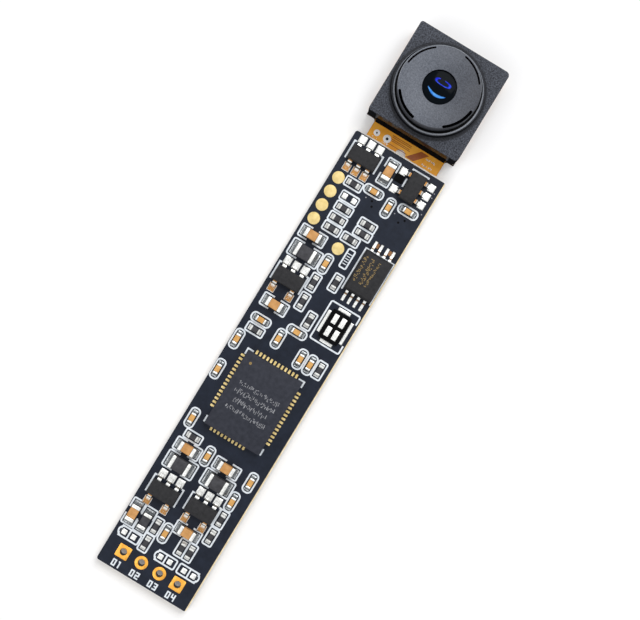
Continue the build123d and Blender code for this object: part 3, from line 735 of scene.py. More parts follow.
def filmFinish():
    # amber film, with painted shade on the flaps beside its neck, where it leaves the holder
    look = filmLook
    mat = newFinish("amberFilm", tone(250, 176, 60), 0.32, gloss=0.12)
    vector = objectCoords(mat)
    amber = tintBetween(mat, noiseField(mat, vector, look["grain"]), *look["amber"])
    x, y = besideLens(mat, vector)[:2]
    # painted shade: the flaps beside the film's neck turn dark
    earShade = between(mat, fromFilmMiddle(mat, x), *look["earReach"])
    front = holderLow.y - lensAxis.y
    earShade = calc(mat, "MULTIPLY", earShade, between(mat, y, *[front + depth for depth in look["earDepth"]]))
    drive(mat, blend(mat, earShade, amber, look["earShade"]), "Base Color")
    fineSurface(mat, vector, look)
    return mat


def wirePadFinish():
    # rich gold, with painted shade down the sides of the holes
    look = wirePadLook
    mat = newFinish("wirePadGold", tone(240, 176, 74), 0.4, 0.7)
    vector = objectCoords(mat)
    gold = tintBetween(mat, noiseField(mat, vector, look["grain"]), *look["gold"])
    # painted shade: steep faces, down the holes, take the dark tone
    drive(mat, blend(mat, levelFace(mat, *look["level"]), look["holeWallShade"], gold), "Base Color")
    fineSurface(mat, vector, look)
    return mat


# dark tone, light tone, size of the grain, roughness and height of the relief
finishes = {
    "laminate": grainyFinish("boardLaminate", (222, 200, 156), (244, 228, 194), 0.12, (0.5, 0.75), 0.012,
                             stretch=(1, 1, 6)),
    "dark_coat": grainyFinish("darkCoat", (25, 30, 41), (33, 39, 52), 0.2, (0.3, 0.42), 0.003, gloss=0.12),
    "white_print": grainyFinish("whitePrint", (206, 214, 222), (236, 241, 246), 0.1, (0.55, 0.75), 0.006),
    "gold_pad": grainyFinish("goldPad", (206, 182, 118), (232, 210, 150), 0.15, (0.5, 0.65), 0.006, 0.3, 0.3),
    "wire_pad_metal": wirePadFinish(),
    "tin": tinFinish(),
    "chip_plastic": grainyFinish("chipPlastic", (36, 36, 38), (48, 48, 50), 0.08, (0.5, 0.7), 0.006,
                                 gloss=0.15),
    "controller_plastic": grainyFinish("controllerPlastic", (44, 46, 54), (55, 57, 66), 0.1, (0.5, 0.7),
                                       0.005, gloss=0.12),
    "tan_ceramic": grainyFinish("tanCeramic", (198, 146, 78), (224, 174, 104), 0.15, (0.45, 0.65), 0.005,
                                gloss=0.3),
    "brown_ceramic": grainyFinish("brownCeramic", (184, 132, 74), (210, 158, 100), 0.15, (0.45, 0.65),
                                  0.005, gloss=0.3),
    "dark_ceramic": grainyFinish("darkCeramic", (54, 54, 57), (72, 72, 76), 0.12, (0.5, 0.7), 0.008,
                                 gloss=0.15),
    "amber_film": filmFinish(),
    "track_copper": grainyFinish("trackCopper", (138, 68, 20), (170, 92, 34), 0.2, (0.35, 0.5), 0.003,
                                 gloss=0.3),
    "adhesive": grainyFinish("adhesive", (232, 230, 224), (250, 249, 246), 0.25, (0.35, 0.55), 0.01),
    "stiffener_metal": grainyFinish("stiffenerMetal", (140, 142, 145), (182, 184, 188), 0.1, (0.3, 0.5),
                                    0.004, 1.0, stretch=(1, 12, 1)),
    "holder_plastic": holderFinish(),
    "barrel_plastic": barrelFinish(),
    "lens_glass": glassFinish(),
    "filter_glass": grainyFinish("filterGlass", (120, 160, 180), (140, 178, 196), 1.5, (0.04, 0.08), 0.0005),
    "sensor_glass": grainyFinish("sensorGlass", (40, 48, 52), (52, 62, 66), 0.6, (0.06, 0.12), 0.0005),
    "film_print": grainyFinish("filmPrint", (238, 240, 242), (252, 252, 252), 0.1, (0.6, 0.8), 0.004),
    "bare_copper": grainyFinish("bareCopper", (118, 78, 42), (160, 112, 66), 0.15, (0.4, 0.6), 0.004,
                                gloss=0.3),
    "faint_mark": grainyFinish("faintMark", (120, 121, 126), (172, 173, 178), 0.08, (0.6, 0.8), 0.004),
    "faint_gold": grainyFinish("faintGold", (128, 104, 58), (168, 142, 88), 0.08, (0.6, 0.8), 0.004),
    "black_foil": grainyFinish("blackFoil", (14, 14, 15), (24, 24, 26), 0.2, (0.6, 0.8), 0.004, gloss=0.0),
}

for row in frame["record"]["subparts"]:
    node = nodes[row["node"]]
    node.data.materials.clear()
    node.data.materials.append(finishes[row["material_slot"]])
print("finishes on:", len(finishes))


# the lens head: a square holder with a collar, and the round barrel in it

holder = {
    "size": 9.7,
    "blockHeight": 3.35,
    "cornerLeft": 0.24,
    "cornerRight": 0.42,
    "edge": 0.07,
    "room": 8.1,
    "roomHeight": 1.1,
    "window": 4.0,
    "bore": 3.45,
    "collarRadius": 4.42,
    "collarWall": 0.34,
    "collarFoot": 0.15,
    "collarSink": 0.05,
    "webThickness": 0.4,
    "rimRound": (0.16, 0.2),
    "rimSteps": 5,
    "rimLip": 0.05,
}
barrel = {
    "radius": 3.4,
    "flangeRadius": 3.9,
    "flangeDrop": 1.65,
    "edge": 0.08,
    "pupil": 1.6,
    "pupilLip": 0.05,
    "lip": 0.25,
    "bore": 2.05,
    "boreDepth": 0.75,
    "middleBore": 2.45,
    "middleDepth": 1.0,
    "rearBore": 2.85,
    "slotRadius": 3.68,
    "slotDepth": 0.3,
    "slotSteps": 24,
    "slots": ((36, 44, 0.17), (127, 45, 0.17), (216, 43, 0.27), (307, 46, 0.27)),  # start, span, width
    "threadStart": 0.2,
    "threadEnd": 0.1,
    "threadPitch": 0.25,
    "threadDepth": 0.06,
}


def makeHolder():
    middleX, middleY = (holderLow.x + holderHigh.x) / 2, (holderLow.y + holderHigh.y) / 2
    base, top = holderLow.z, holderLow.z + holder["blockHeight"]
    block = startCube((holder["size"], holder["size"], holder["blockHeight"]), (middleX, middleY, base))
    for side, width, steps in ((-1, holder["cornerLeft"], 5), (1, holder["cornerRight"], 6)):
        bevelEdges(block, lambda e: upright(e) and (e.verts[0].co.x - middleX) * side > 0, width, steps)
    bevelEdges(block, lambda e: rimOf(e, top), holder["edge"], 3)
    room, window, web = holder["room"], holder["window"], holder["webThickness"]
    roof = base + holder["roomHeight"]
    cutWith(block, startCube((room, room, holder["roomHeight"] + past), (middleX, middleY, base - past)))
    cutWith(block, startCube((window, window, web + past), (lensAxis.x, lensAxis.y, roof - past / 2)))
    seat = (lensAxis.x, lensAxis.y, roof + web)
    cutWith(block, startDrum(holder["bore"], holder["blockHeight"], seat, 128))
    outer = holder["collarRadius"]
    inner = outer - holder["collarWall"]
    rim, sunk, foot, lip = holderHigh.z, top - holder["collarSink"], holder["collarFoot"], holder["rimLip"]
    inwards, down = holder["rimRound"]
    outline = [(inner, sunk), (outer + foot, sunk), (outer + foot, top),
               (outer + foot * 0.4, top + foot * 0.3), (outer, top + foot), (outer, rim - down)]
    for i in range(1, holder["rimSteps"] + 1):
        turn = math.pi / 2 * i / holder["rimSteps"]
        outline.append((outer - inwards * (1 - math.cos(turn)), rim - down * (1 - math.sin(turn))))
    outline += [(inner + lip, rim), (inner + lip * 0.3, rim - lip * 0.3), (inner, rim - lip)]
    cutWith(block, spinProfile(outline, 128, (lensAxis.x, lensAxis.y)), "UNION")
    settle(block, "lensHolder", "holder_plastic", "lens_holder", angle=35)


def slotCutter(start, span, width, top):
    # a bar with round ends, bent round the axis
    radius, half, depth = barrel["slotRadius"], width / 2, barrel["slotDepth"]
    deselectAll()
    bpy.ops.mesh.primitive_plane_add(size=1, location=(0, 0, 0), rotation=(math.pi / 2, 0, 0))
    bar = bpy.context.object
    bar.scale = (half * 2, depth * 2, 1)
    bar.location = (lensAxis.x + radius, lensAxis.y, top)
    edit(applied())
    bpy.ops.mesh.select_all(action="SELECT")
    bpy.ops.mesh.spin(steps=barrel["slotSteps"], angle=math.radians(span),
                      center=(lensAxis.x, lensAxis.y, 0), axis=(0, 0, -1))
    bpy.ops.mesh.select_all(action="SELECT")
    bpy.ops.mesh.normals_make_consistent(inside=False)
    done()
    about = Matrix.Translation((lensAxis.x, lensAxis.y, 0))
    bar.data.transform(about @ Matrix.Rotation(math.radians(start), 4, "Z") @ about.inverted())
    bar.data.update()
    ends = []
    for angle in (start, start + span):
        turn = math.radians(angle)
        x, y = lensAxis.x + radius * math.cos(turn), lensAxis.y + radius * math.sin(turn)
        ends.append(startDrum(half, depth * 2, (x, y, top - depth), 16))
    return [bar] + ends


def makeBarrel():
    front, rear = barrelHigh.z, barrelLow.z
    flange, edge = front - barrel["flangeDrop"], barrel["edge"]
    seat = front - barrel["lip"]
    middleSeat = seat - barrel["boreDepth"]
    rearSeat = middleSeat - barrel["middleDepth"]
    radius, wide, pupil, lip = barrel["radius"], barrel["flangeRadius"], barrel["pupil"], barrel["pupilLip"]
    outline = [(pupil + lip * 0.4, front - lip * 0.4), (pupil + lip, front), (wide - edge, front),
               (wide - edge * 0.3, front - edge * 0.3), (wide, front - edge), (wide, flange),
               (radius, flange)]
    pitch = barrel["threadPitch"]
    turns = int((flange - rear - barrel["threadStart"] - barrel["threadEnd"]) / pitch)
    for i in range(turns):  # thread grooves as rings
        z = flange - barrel["threadStart"] - i * pitch
        root = radius - barrel["threadDepth"]
        outline += [(radius, z), (root, z - pitch * 0.4), (radius, z - pitch * 0.8)]
    outline += [(radius, rear), (barrel["rearBore"], rear), (barrel["rearBore"], rearSeat),
                (barrel["middleBore"], rearSeat), (barrel["middleBore"], middleSeat),
                (barrel["bore"], middleSeat), (barrel["bore"], seat), (pupil, seat), (pupil, front - lip)]
    body = spinProfile(outline, 128, (lensAxis.x, lensAxis.y))
    for start, span, width in barrel["slots"]:
        for tool in slotCutter(start, span, width, front):
            cutWith(body, tool)
    settle(body, "lensBarrel", "barrel_plastic", "lens_barrel", angle=35)


frontGlass = {
    "radius": 2.03,
    "back": 4.77,
    "seat": 5.4,
    "clear": 1.6,
    "bulge": 0.16,
    "hollow": 0.1,
    "steps": 10,
}
# painted shade: a dark bead along the holder's foot, where the film meets it
footShadeBead = {
    "width": 7.7,
    "depth": 0.26,
    "height": 1.1,
    "lift": 0.01,
    "across": 0.06,
    "edge": 0.02,
    "slump": ((1.0, 0.4, 0.7), (0.2, 0.9, 0.2)),  # shares: how far out, how high up, how far back
}


def domeRing(height, clear, bulge, steps):
    # points of a shallow dome from its middle out to its rim
    curve = (clear ** 2 + bulge ** 2) / (2 * bulge)
    points = []
    for i in range(steps + 1):
        r = clear * i / steps
        points.append((r, height + bulge - curve + math.sqrt(curve ** 2 - r ** 2)))
    return points


def makeFrontGlass():
    look = frontGlass
    front = domeRing(look["seat"], look["clear"], look["bulge"], look["steps"])
    back = domeRing(look["back"], look["clear"], look["hollow"], look["steps"])
    outline = front + [(look["radius"], look["seat"]), (look["radius"], look["back"])] + back[::-1]
    glass = spinProfile(outline, 96, (lensAxis.x, lensAxis.y), closed=False)
    settle(glass, "frontGlass", "lens_glass", "front_element", angle=30)


def makeFootShadeBead():
    # painted shade: a dark bead that stands for the shadow where the holder meets the film, full at its foot
    # and drawn back higher up
    depth, height = footShadeBead["depth"], footShadeBead["height"]
    base = filmTop + footShadeBead["lift"]
    x = (holderLow.x + holderHigh.x) / 2 + footShadeBead["across"]
    bead = startCube((footShadeBead["width"], depth, height), (x, holderLow.y - depth / 2, base))
    edit(bead)
    bpy.ops.mesh.select_all(action="SELECT")
    bpy.ops.mesh.subdivide(number_cuts=1)
    for out, above, pull in footShadeBead["slump"]:
        limit = holderLow.y - depth * out + near
        pick(bead, "VERT", lambda v: v.co.y < limit and v.co.z > base + height * above)
        bpy.ops.transform.translate(value=(0, depth * pull, 0))
    done()
    bevelEdges(bead, lambda e: abs(e.verts[0].co.y - e.verts[1].co.y) < near, footShadeBead["edge"], 2)
    settle(bead, "footShadeBead", "black_foil", angle=60)


makeHolder()
makeBarrel()
makeFrontGlass()
makeFootShadeBead()
print("lens head made")


# two-terminal chips: ceramic body, tinned ends, and solder that climbs them

chipFamilies = {
    "resistor": {"slot": "dark_ceramic", "edge": 0.03, "capEdge": 0.05, "dull": False},
    "small_capacitor": {"slot": "tan_ceramic", "edge": 0.04, "capEdge": 0.07, "dull": True},
    "large_capacitor": {"slot": "brown_ceramic", "edge": 0.05, "capEdge": 0.06, "dull": True},
    "inductor": {"slot": "dark_ceramic", "edge": 0.06, "capEdge": 0.06, "dull": True},
    "bead": {"slot": "dark_ceramic", "edge": 0.05, "capEdge": 0.08, "dull": True},
}
solder = {
    "landThickness": 0.03,
    "corner": 0.05,
    "toe": 0.03,
    "width": 0.96,
    "hollow": 2.4,
    "taper": 0.88,
    "steps": 5,
}


def chipBlock(size, edge):
    block = startCube(size)
    bevelEdges(block, lambda e: True, edge, 3)
    return block


def solderRamp(size, underChip):
    # a thin land, and a hollow ramp from the chip's end down to the land's outer edge
    width, length, height = size
    land = startCube((width, length, solder["landThickness"]))
    bevelEdges(land, upright, solder["corner"], 2)
    start, stop = underChip - length / 2, length / 2 - solder["toe"]
    ramp = startCube((width * solder["width"], stop - start, height), (0, (start + stop) / 2, 0))
    edit(ramp)
    stations = [start + (stop - start) * i / solder["steps"] for i in range(solder["steps"] + 1)]
    for y in stations[1:-1]:
        bpy.ops.mesh.select_all(action="SELECT")
        bpy.ops.mesh.bisect(plane_co=(0, y, 0), plane_no=(0, 1, 0))
    for y in stations:
        share = (stop - y) / (stop - start)
        level = solder["landThickness"] + (height - solder["landThickness"]) * share ** solder["hollow"]
        pick(ramp, "VERT", lambda v: abs(v.co.y - y) < near and v.co.z > height * 0.9)
        bpy.ops.transform.translate(value=(0, 0, level - height))
        bpy.ops.transform.resize(value=(solder["taper"], 1, 1), center_override=(0, 0, 0))
    done()
    return joinAll([land, ramp])


def makeTwoTerminal(family):
    look = chipFamilies[family]
    body, ends, lands = readFamily(family + "_body", family + "_ends", family + "_lands")
    piece = placeCopies(chipBlock(body[1], look["edge"]), body[0])
    settle(piece, family + "Bodies", look["slot"], family + "_body", angle=40)
    piece = placeCopies(chipBlock(ends[1], look["capEdge"]), ends[0])
    markPoints(piece.data, "bright", lambda co: not look["dull"])
    settle(piece, family + "Ends", "tin", family + "_ends", angle=40)
    piece = placeCopies(solderRamp(lands[1], ends[1].y), lands[0])
    markPoints(piece.data, "dull" if look["dull"] else "bright")
    settle(piece, family + "Solder", "tin", family + "_lands", angle=40)


for family in chipFamilies:
    makeTwoTerminal(family)
print("two-terminal chips made")


# chips with bent leads: moulded body, gull-wing leads, pads with a pillow of solder

outlineChips = {
    "draft": 0.95,
    "partingHeight": 0.5,
    "edge": 0.035,
    "leadThickness": 0.13,
    "leadEdge": 0.015,
    "leadOut": 0.1,
    "bendRadius": 0.06,
    "bendAngle": 75,
    "bendSteps": 5,
    "padCorner": 0.04,
    "pillow": 0.035,
    "pillowRim": 0.08,
    "pillowSteps": (0.6, 0.4),
}


def mouldedBody(size):
    # the sides lean in above and below the parting line
    look = outlineChips
    body = startCube(size)
    edit(body)
    bpy.ops.mesh.select_all(action="SELECT")
    bpy.ops.mesh.bisect(plane_co=(0, 0, size[2] * look["partingHeight"]), plane_no=(0, 0, 1))
    lean = 2 * (1 - look["draft"]) * size[1]
    for z in (0, size[2]):
        pick(body, "VERT", lambda v: abs(v.co.z - z) < near)
        shrink = (1 - lean / size[0], 1 - lean / size[1], 1)
        bpy.ops.transform.resize(value=shrink, center_override=(0, 0, 0))
    done()
    bevelEdges(body, lambda e: True, look["edge"], 2)
    return body


def bentLead(size):
    # out of the body, down a steep leg, and flat along the pad
    look = outlineChips
    width, reach, height = size
    thickness = look["leadThickness"]
    turn = math.radians(look["bendAngle"])
    mid = look["bendRadius"] + thickness / 2
    slope = (height - thickness - 2 * mid * (1 - math.cos(turn))) / math.sin(turn)
    deselectAll()
    y, z = -reach / 2, height - thickness / 2
    bpy.ops.mesh.primitive_plane_add(size=1, location=(0, y, z), rotation=(math.pi / 2, 0, 0))
    lead = bpy.context.object
    lead.scale = (width, thickness, 1)
    edit(applied())
    bpy.ops.mesh.select_all(action="SELECT")
    bpy.ops.mesh.extrude_region_move(TRANSFORM_OT_translate={"value": (0, look["leadOut"], 0)})
    y += look["leadOut"]
    bpy.ops.mesh.spin(steps=look["bendSteps"], angle=turn, center=(0, y, z - mid), axis=(1, 0, 0))
    y, z = y + mid * math.sin(turn), z - mid * (1 - math.cos(turn))
    out, down = slope * math.cos(turn), slope * math.sin(turn)
    bpy.ops.mesh.extrude_region_move(TRANSFORM_OT_translate={"value": (0, out, -down)})
    y, z = y + out, z - down
    centre = (0, y + mid * math.sin(turn), z + mid * math.cos(turn))
    bpy.ops.mesh.spin(steps=look["bendSteps"], angle=turn, center=centre, axis=(-1, 0, 0))
    y += mid * math.sin(turn)
    bpy.ops.mesh.extrude_region_move(TRANSFORM_OT_translate={"value": (0, reach / 2 - y, 0)})
    bpy.ops.mesh.select_all(action="SELECT")
    bpy.ops.mesh.normals_make_consistent(inside=False)
    done()

    def sharpAlong(e):
        along = abs(e.verts[0].co.x - e.verts[1].co.x) < near
        return along and len(e.link_faces) == 2 and e.calc_face_angle(0) > 1

    bevelEdges(lead, sharpAlong, look["leadEdge"], 1)
    return lead


def solderPillow(size, rise):
    # a pad whose solder swells towards its middle in steps; the rim is a share of its width
    pad = startCube(size)
    edit(pad)
    pick(pad, "FACE", facesUp)
    for share in outlineChips["pillowSteps"]:
        bpy.ops.mesh.inset(thickness=min(size[:2]) * outlineChips["pillowRim"], depth=0)
        bpy.ops.transform.translate(value=(0, 0, rise * share))
    done()
    bevelEdges(pad, upright, outlineChips["padCorner"], 2)
    return pad


def makeLeadedChips(family, look):
    # copper shows on the cut ends and shoulders of some leads; a bare height is a share of the lead's height
    body, leads, pads = readFamily(family + "_body", family + "_leads", family + "_lands")
    piece = placeCopies(mouldedBody(body[1]), body[0])
    settle(piece, family + "Bodies", "chip_plastic", family + "_body", angle=30)
    shoulder = outlineChips["leadOut"] - leads[1].y / 2
    toe = leads[1].y / 2 - look["toe"]
    low, high = look["bareHeight"][0] * leads[1].z, look["bareHeight"][1] * leads[1].z

    def bareSpot(co):
        return low < co.z < high and (co.y > toe + near or co.y < shoulder + look["shoulder"])

    piece = placeCopies(bentLead(leads[1]), leads[0], ("bare", look["bareSide"], bareSpot))
    settle(piece, family + "Leads", "tin", family + "_leads", angle=35)
    top = pads[1].z + outlineChips["pillow"] * 0.5
    size = pads[1] + Vector((0, look["padExtra"], 0))
    pad = solderPillow(tuple(size), outlineChips["pillow"])
    pad.data.transform(Matrix.Translation((0, -look["padExtra"] / 2, 0)))
    piece = placeCopies(pad, pads[0], ("bare", look["bareSide"], lambda co: look["barePad"] and co.z > top))
    settle(piece, family + "Pads", "tin", family + "_lands", angle=12)


leadedFamilies = {
    "regulator": {"bareSide": pointsDown, "bareHeight": (-1, 2), "shoulder": 0.02, "toe": 0.2,
                  "barePad": True, "padExtra": 0.22},
    "driver": {"bareSide": pointsDown, "bareHeight": (-1, 2), "shoulder": 0.02, "toe": 0.2,
               "barePad": True, "padExtra": 0.22},
    "switch": {"bareSide": everyCopy, "bareHeight": (-1, 2), "shoulder": 0.06, "toe": 0.0,
               "barePad": False, "padExtra": 0.05},
    "memory": {"bareSide": everyCopy, "bareHeight": (0.15, 0.8), "shoulder": 0.3, "toe": 0.0,
               "barePad": False, "padExtra": 0.0},
}
for family, look in leadedFamilies.items():
    makeLeadedChips(family, look)
print("leaded chips made")


# controller: chamfered body, pads with a little solder, lines of marks and the dot of its first pin

controller = {
    "edge": 0.05,
    "land": (0.22, 0.7, 0.1),
    "underBody": 0.3,
    "lines": ((1.006, 4.38, 0.54), (0.24, 4.38, 0.57), (-0.632, 3.6, 0.6), (-1.517, 4.32, 0.5)),
    "dot": (-2.177, 3.05, 0.14),  # place and radius; a line has its place, width and height
    "dotSlope": 0.3,
    "markThickness": 0.006,
    "marks": {"turn": 0, "cell": 0.17, "pen": 0.05, "seed": 11},
}
memoryMarks = {
    "lines": ((-1.06, 2.67, 0.46), (-0.31, 2.67, 0.5), (0.27, 2.67, 0.36)),
    "shift": 0.25,
    "marks": {"turn": -90, "cell": 0.15, "pen": 0.055, "seed": 5},
}
strokes = {
    "corner": 0.2,
    "perCell": (1, 2, 3),
    "flatLength": (0.7, 1.3),
    "flatRise": 0.45,
    "tallHeight": (0.2, 0.7),
    "tallShift": 0.3,
    "tallRise": 0.25,
}


def strokeLines(lines, centre, z, turn, cell, pen, seed):
    # rows of short strokes that read as small print from afar, and are no letters
    rng = random.Random(seed)
    stroke = startCube((1, 1, 1))
    bevelEdges(stroke, upright, strokes["corner"], 2)
    about = Matrix.Translation((centre[0], centre[1], z)) @ Matrix.Rotation(math.radians(turn), 4, "Z")
    places = []
    for shift, width, height in lines:
        count = int(width / cell)
        for i in range(count):
            x = (i + 0.5) * width / count - width / 2
            for k in range(rng.choice(strokes["perCell"])):
                if k % 2:
                    rise = strokes["flatRise"]
                    size = (cell * rng.uniform(*strokes["flatLength"]), pen)
                    offset = (0, rng.uniform(-rise, rise) * height)
                else:
                    side, rise = strokes["tallShift"], strokes["tallRise"]
                    size = (pen, height * rng.uniform(*strokes["tallHeight"]))
                    offset = (rng.uniform(-side, side) * cell, rng.uniform(-rise, rise) * height)
                scale = Matrix.Diagonal((size[0], size[1], controller["markThickness"], 1))
                places.append(about @ Matrix.Translation((x + offset[0], shift + offset[1], 0)) @ scale)
    return placeCopies(stroke, places)


def makeController():
    low, high = inMillimetres(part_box("controller_body"))
    size, centre = high - low, (low + high) / 2
    body = startCube(tuple(size), (centre.x, centre.y, low.z))
    bevelEdges(body, lambda e: upright(e) or rimOf(e, high.z), controller["edge"], 2)
    settle(body, "controllerBody", "controller_plastic", "controller_body", angle=30)
    places = readFamily("controller_body", "controller_lands")[1][0]
    lands = placeCopies(solderRamp(controller["land"], controller["underBody"]), places)
    settle(lands, "controllerLands", "gold_pad", "controller_lands", angle=40)
    marks = strokeLines(controller["lines"], (centre.x, centre.y), high.z, **controller["marks"])
    settle(marks, "controllerMarks", "white_print", finish="faint_mark")
    x, y, radius = controller["dot"]
    dot = startDrum(radius, controller["markThickness"], (centre.x + x, centre.y + y, high.z), 24)
    edit(dot)
    pick(dot, "FACE", facesUp)
    bpy.ops.mesh.inset(thickness=radius * controller["dotSlope"], depth=0)
    done()
    settle(dot, "controllerDot", "brown_ceramic", finish="faint_gold")


def makeMemoryMarks():
    low, high = inMillimetres(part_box("memory_body"))
    centre = (low + high) / 2
    place = (centre.x, centre.y + memoryMarks["shift"])
    marks = strokeLines(memoryMarks["lines"], place, high.z, **memoryMarks["marks"])
    settle(marks, "memoryMarks", "gold_pad", finish="faint_gold")


makeController()
makeMemoryMarks()
print("controller made")


# filter choke, bare pads, and the pads with wire holes

pads = {
    "chokeEdge": 0.04,
    "chokePillow": 0.02,
    "landPillow": 0.02,
    "discEdge": 0.015,
    "discSides": 40,
    "wireHole": 0.33,
    "platingWall": 0.03,
    "wirePadThickness": 0.05,
    "wirePadCorner": 0.1,
    "wirePadEdge": 0.015,
    "jumperTrim": 0.16,
    "jumperTurns": (0, 180, 0),
}
roundEnd = {
    "centre": -0.595,
    "outer": 0.58,
    "inner": 0.42,
    "reach": -1.26,
    "height": 0.84,
    "thickness": 0.024,
    "ringLift": 0.002,
    "sides": 64,
}
boardDots = {
    "radius": {"dark": 0.11, "pale": 0.06},
    "thickness": 0.008,
    "edge": 0.003,
    "dark": ((-0.19, 12.98), (0.05, 12.51), (3.44, 12.99), (3.0, 12.53)),
    "pale": ((4.53, 16.64), (4.53, 16.17), (4.5, 14.33), (-0.87, 12.99), (2.26, 13.09)),
    "bridges": ((2.47, 9.61, 0.36, 0.46), (3.9, 9.61, 0.36, 0.46)),  # place, width and length
    "bridgeCorner": 0.04,
    "patch": (0.9, 16.2, 0.92, 0.86),
    "patchCorner": 0.06,
}


def pillowCopies(node, rise, name, slotName, mark=None, trim=0.0):
    # every solid of the node becomes a pad with a swollen top, smaller than the solid by the trim
    copies = []
    for box in solidBoxes(node):
        size = box[1] - box[0]
        pad = solderPillow((size.x - trim, size.y - trim, size.z), rise)
        pad.data.transform(placeAt(box, 0))
        copies.append(pad)
    piece = joinAll(copies)
    if mark:
        markPoints(piece.data, mark)
    settle(piece, name, slotName, node, angle=12)


def makeChoke():
    low, high = inMillimetres(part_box("choke_body"))
    centre = (low + high) / 2
    body = startCube(tuple(high - low), (centre.x, centre.y, low.z))
    bevelEdges(body, lambda e: True, pads["chokeEdge"], 3)
    settle(body, "chokeBody", "chip_plastic", "choke_body", finish="black_foil", angle=40)
    pillowCopies("choke_terminals", pads["chokePillow"] * 0.5, "chokeTerminals", "tin")
    pillowCopies("choke_lands", pads["chokePillow"], "chokeLands", "tin")


def makeTestPads():
    discs = []
    for low, high in solidBoxes("test_pads"):
        centre = (low + high) / 2
        place = (centre.x, centre.y, low.z)
        disc = startDrum((high.x - low.x) / 2, high.z - low.z, place, pads["discSides"])
        bevelEdges(disc, lambda e: rimOf(e, high.z), pads["discEdge"], 2)
        discs.append(disc)
    piece = joinAll(discs)
    settle(piece, "testPads", "gold_pad", "test_pads", angle=40)


def makeWirePads():
    pieces = []
    thickness, wall = pads["wirePadThickness"], pads["platingWall"]
    boxes = sorted(solidBoxes("wire_pads"), key=lambda box: box[0].x)
    for i, (low, high) in enumerate(boxes):
        centre, wide = (low + high) / 2, high.x - low.x
        for base in (low.z, high.z - thickness):
            if i in (0, len(boxes) - 1):
                pad = startCube((wide, wide, thickness), (centre.x, centre.y, base))
                bevelEdges(pad, upright, pads["wirePadCorner"], 3)
            else:
                pad = startDrum(wide / 2, thickness, (centre.x, centre.y, base), 48)
            face = high.z if base > low.z else low.z
            bevelEdges(pad, lambda e: rimOf(e, face), pads["wirePadEdge"], 2)
            hole = pads["wireHole"] + wall / 2
            cutWith(pad, startDrum(hole, past, (centre.x, centre.y, base - past / 2), 40))
            pieces.append(pad)
        inner, lip, outer = pads["wireHole"], pads["wirePadEdge"], pads["wireHole"] + wall
        outline = [(inner, low.z + lip), (inner + lip, low.z), (outer, low.z),
                   (outer, high.z), (inner + lip, high.z), (inner, high.z - lip)]
        sleeve = spinProfile(outline, 40, (centre.x, centre.y))
        pieces.append(sleeve)
    piece = joinAll(pieces)
    settle(piece, "wirePads", "wire_pad_metal", "wire_pads", angle=40)


def makeJumperEnds():
    # the round end of each jumper's frame: a white half ring, and coat over the corners outside it
    across, reach, thickness = roundEnd["centre"], roundEnd["reach"], roundEnd["thickness"]
    inner, outer, sides = roundEnd["inner"], roundEnd["outer"], roundEnd["sides"]
    width, rim = outer + across - reach, thickness + roundEnd["ringLift"]
    corners = startCube((width, roundEnd["height"], thickness), (reach + width / 2, 0, 0))
    cutWith(corners, startDrum(outer, past, (across, 0, -past / 2), sides))
    cutWith(corners, startCube((1, 2, past), (across + 0.5, 0, -past / 2)))
    ring = spinProfile([(inner, 0), (outer, 0), (outer, rim), (inner, rim)], sides, (across, 0))
    cutWith(ring, startCube((2, 2, past), (across + 1, 0, -past / 2)))
    boxes = solidBoxes("jumper_lands")
    places = []
    for k, turn in enumerate(pads["jumperTurns"]):
        mid = (middle(boxes[2 * k]) + middle(boxes[2 * k + 1])) / 2
        turned = Matrix.Rotation(math.radians(turn), 4, "Z")
        places.append(Matrix.Translation((mid.x, mid.y, coatTop)) @ turned)
    settle(placeCopies(corners, places), "jumperCorners", "dark_coat")
    settle(placeCopies(ring, places), "jumperRings", "white_print")


def makeDots():
    # covered vias, dark or pale, two bits of bare track between the memory leads and a dark patch
    thickness = boardDots["thickness"]
    for name, finish in (("dark", "black_foil"), ("pale", "faint_mark")):
        dots = []
        for x, y in boardDots[name]:
            dot = startDrum(boardDots["radius"][name], thickness, (x, y, coatTop), 20)
            bevelEdges(dot, lambda e: rimOf(e, coatTop + thickness), boardDots["edge"], 1)
            dots.append(dot)
        settle(joinAll(dots), name + "Vias", "dark_coat", finish=finish)
    tracks = []
    for x, y, width, length in boardDots["bridges"]:
        track = startCube((width, length, thickness), (x, y, coatTop))
        bevelEdges(track, upright, boardDots["bridgeCorner"], 2)
        tracks.append(track)
    settle(joinAll(tracks), "bareTracks", "track_copper", finish="bare_copper")
    x, y, width, length = boardDots["patch"]
    patch = startCube((width, length, thickness), (x, y, coatTop))
    bevelEdges(patch, upright, boardDots["patchCorner"], 3)
    settle(patch, "coatPatch", "dark_coat", finish="black_foil")


makeChoke()
makeTestPads()
makeWirePads()
pillowCopies("jumper_lands", pads["landPillow"], "jumperLands", "tin", trim=pads["jumperTrim"])
makeJumperEnds()
makeDots()
print("pads made")


# the amber film: tracks, print, solder joints under the board and the bead of glue

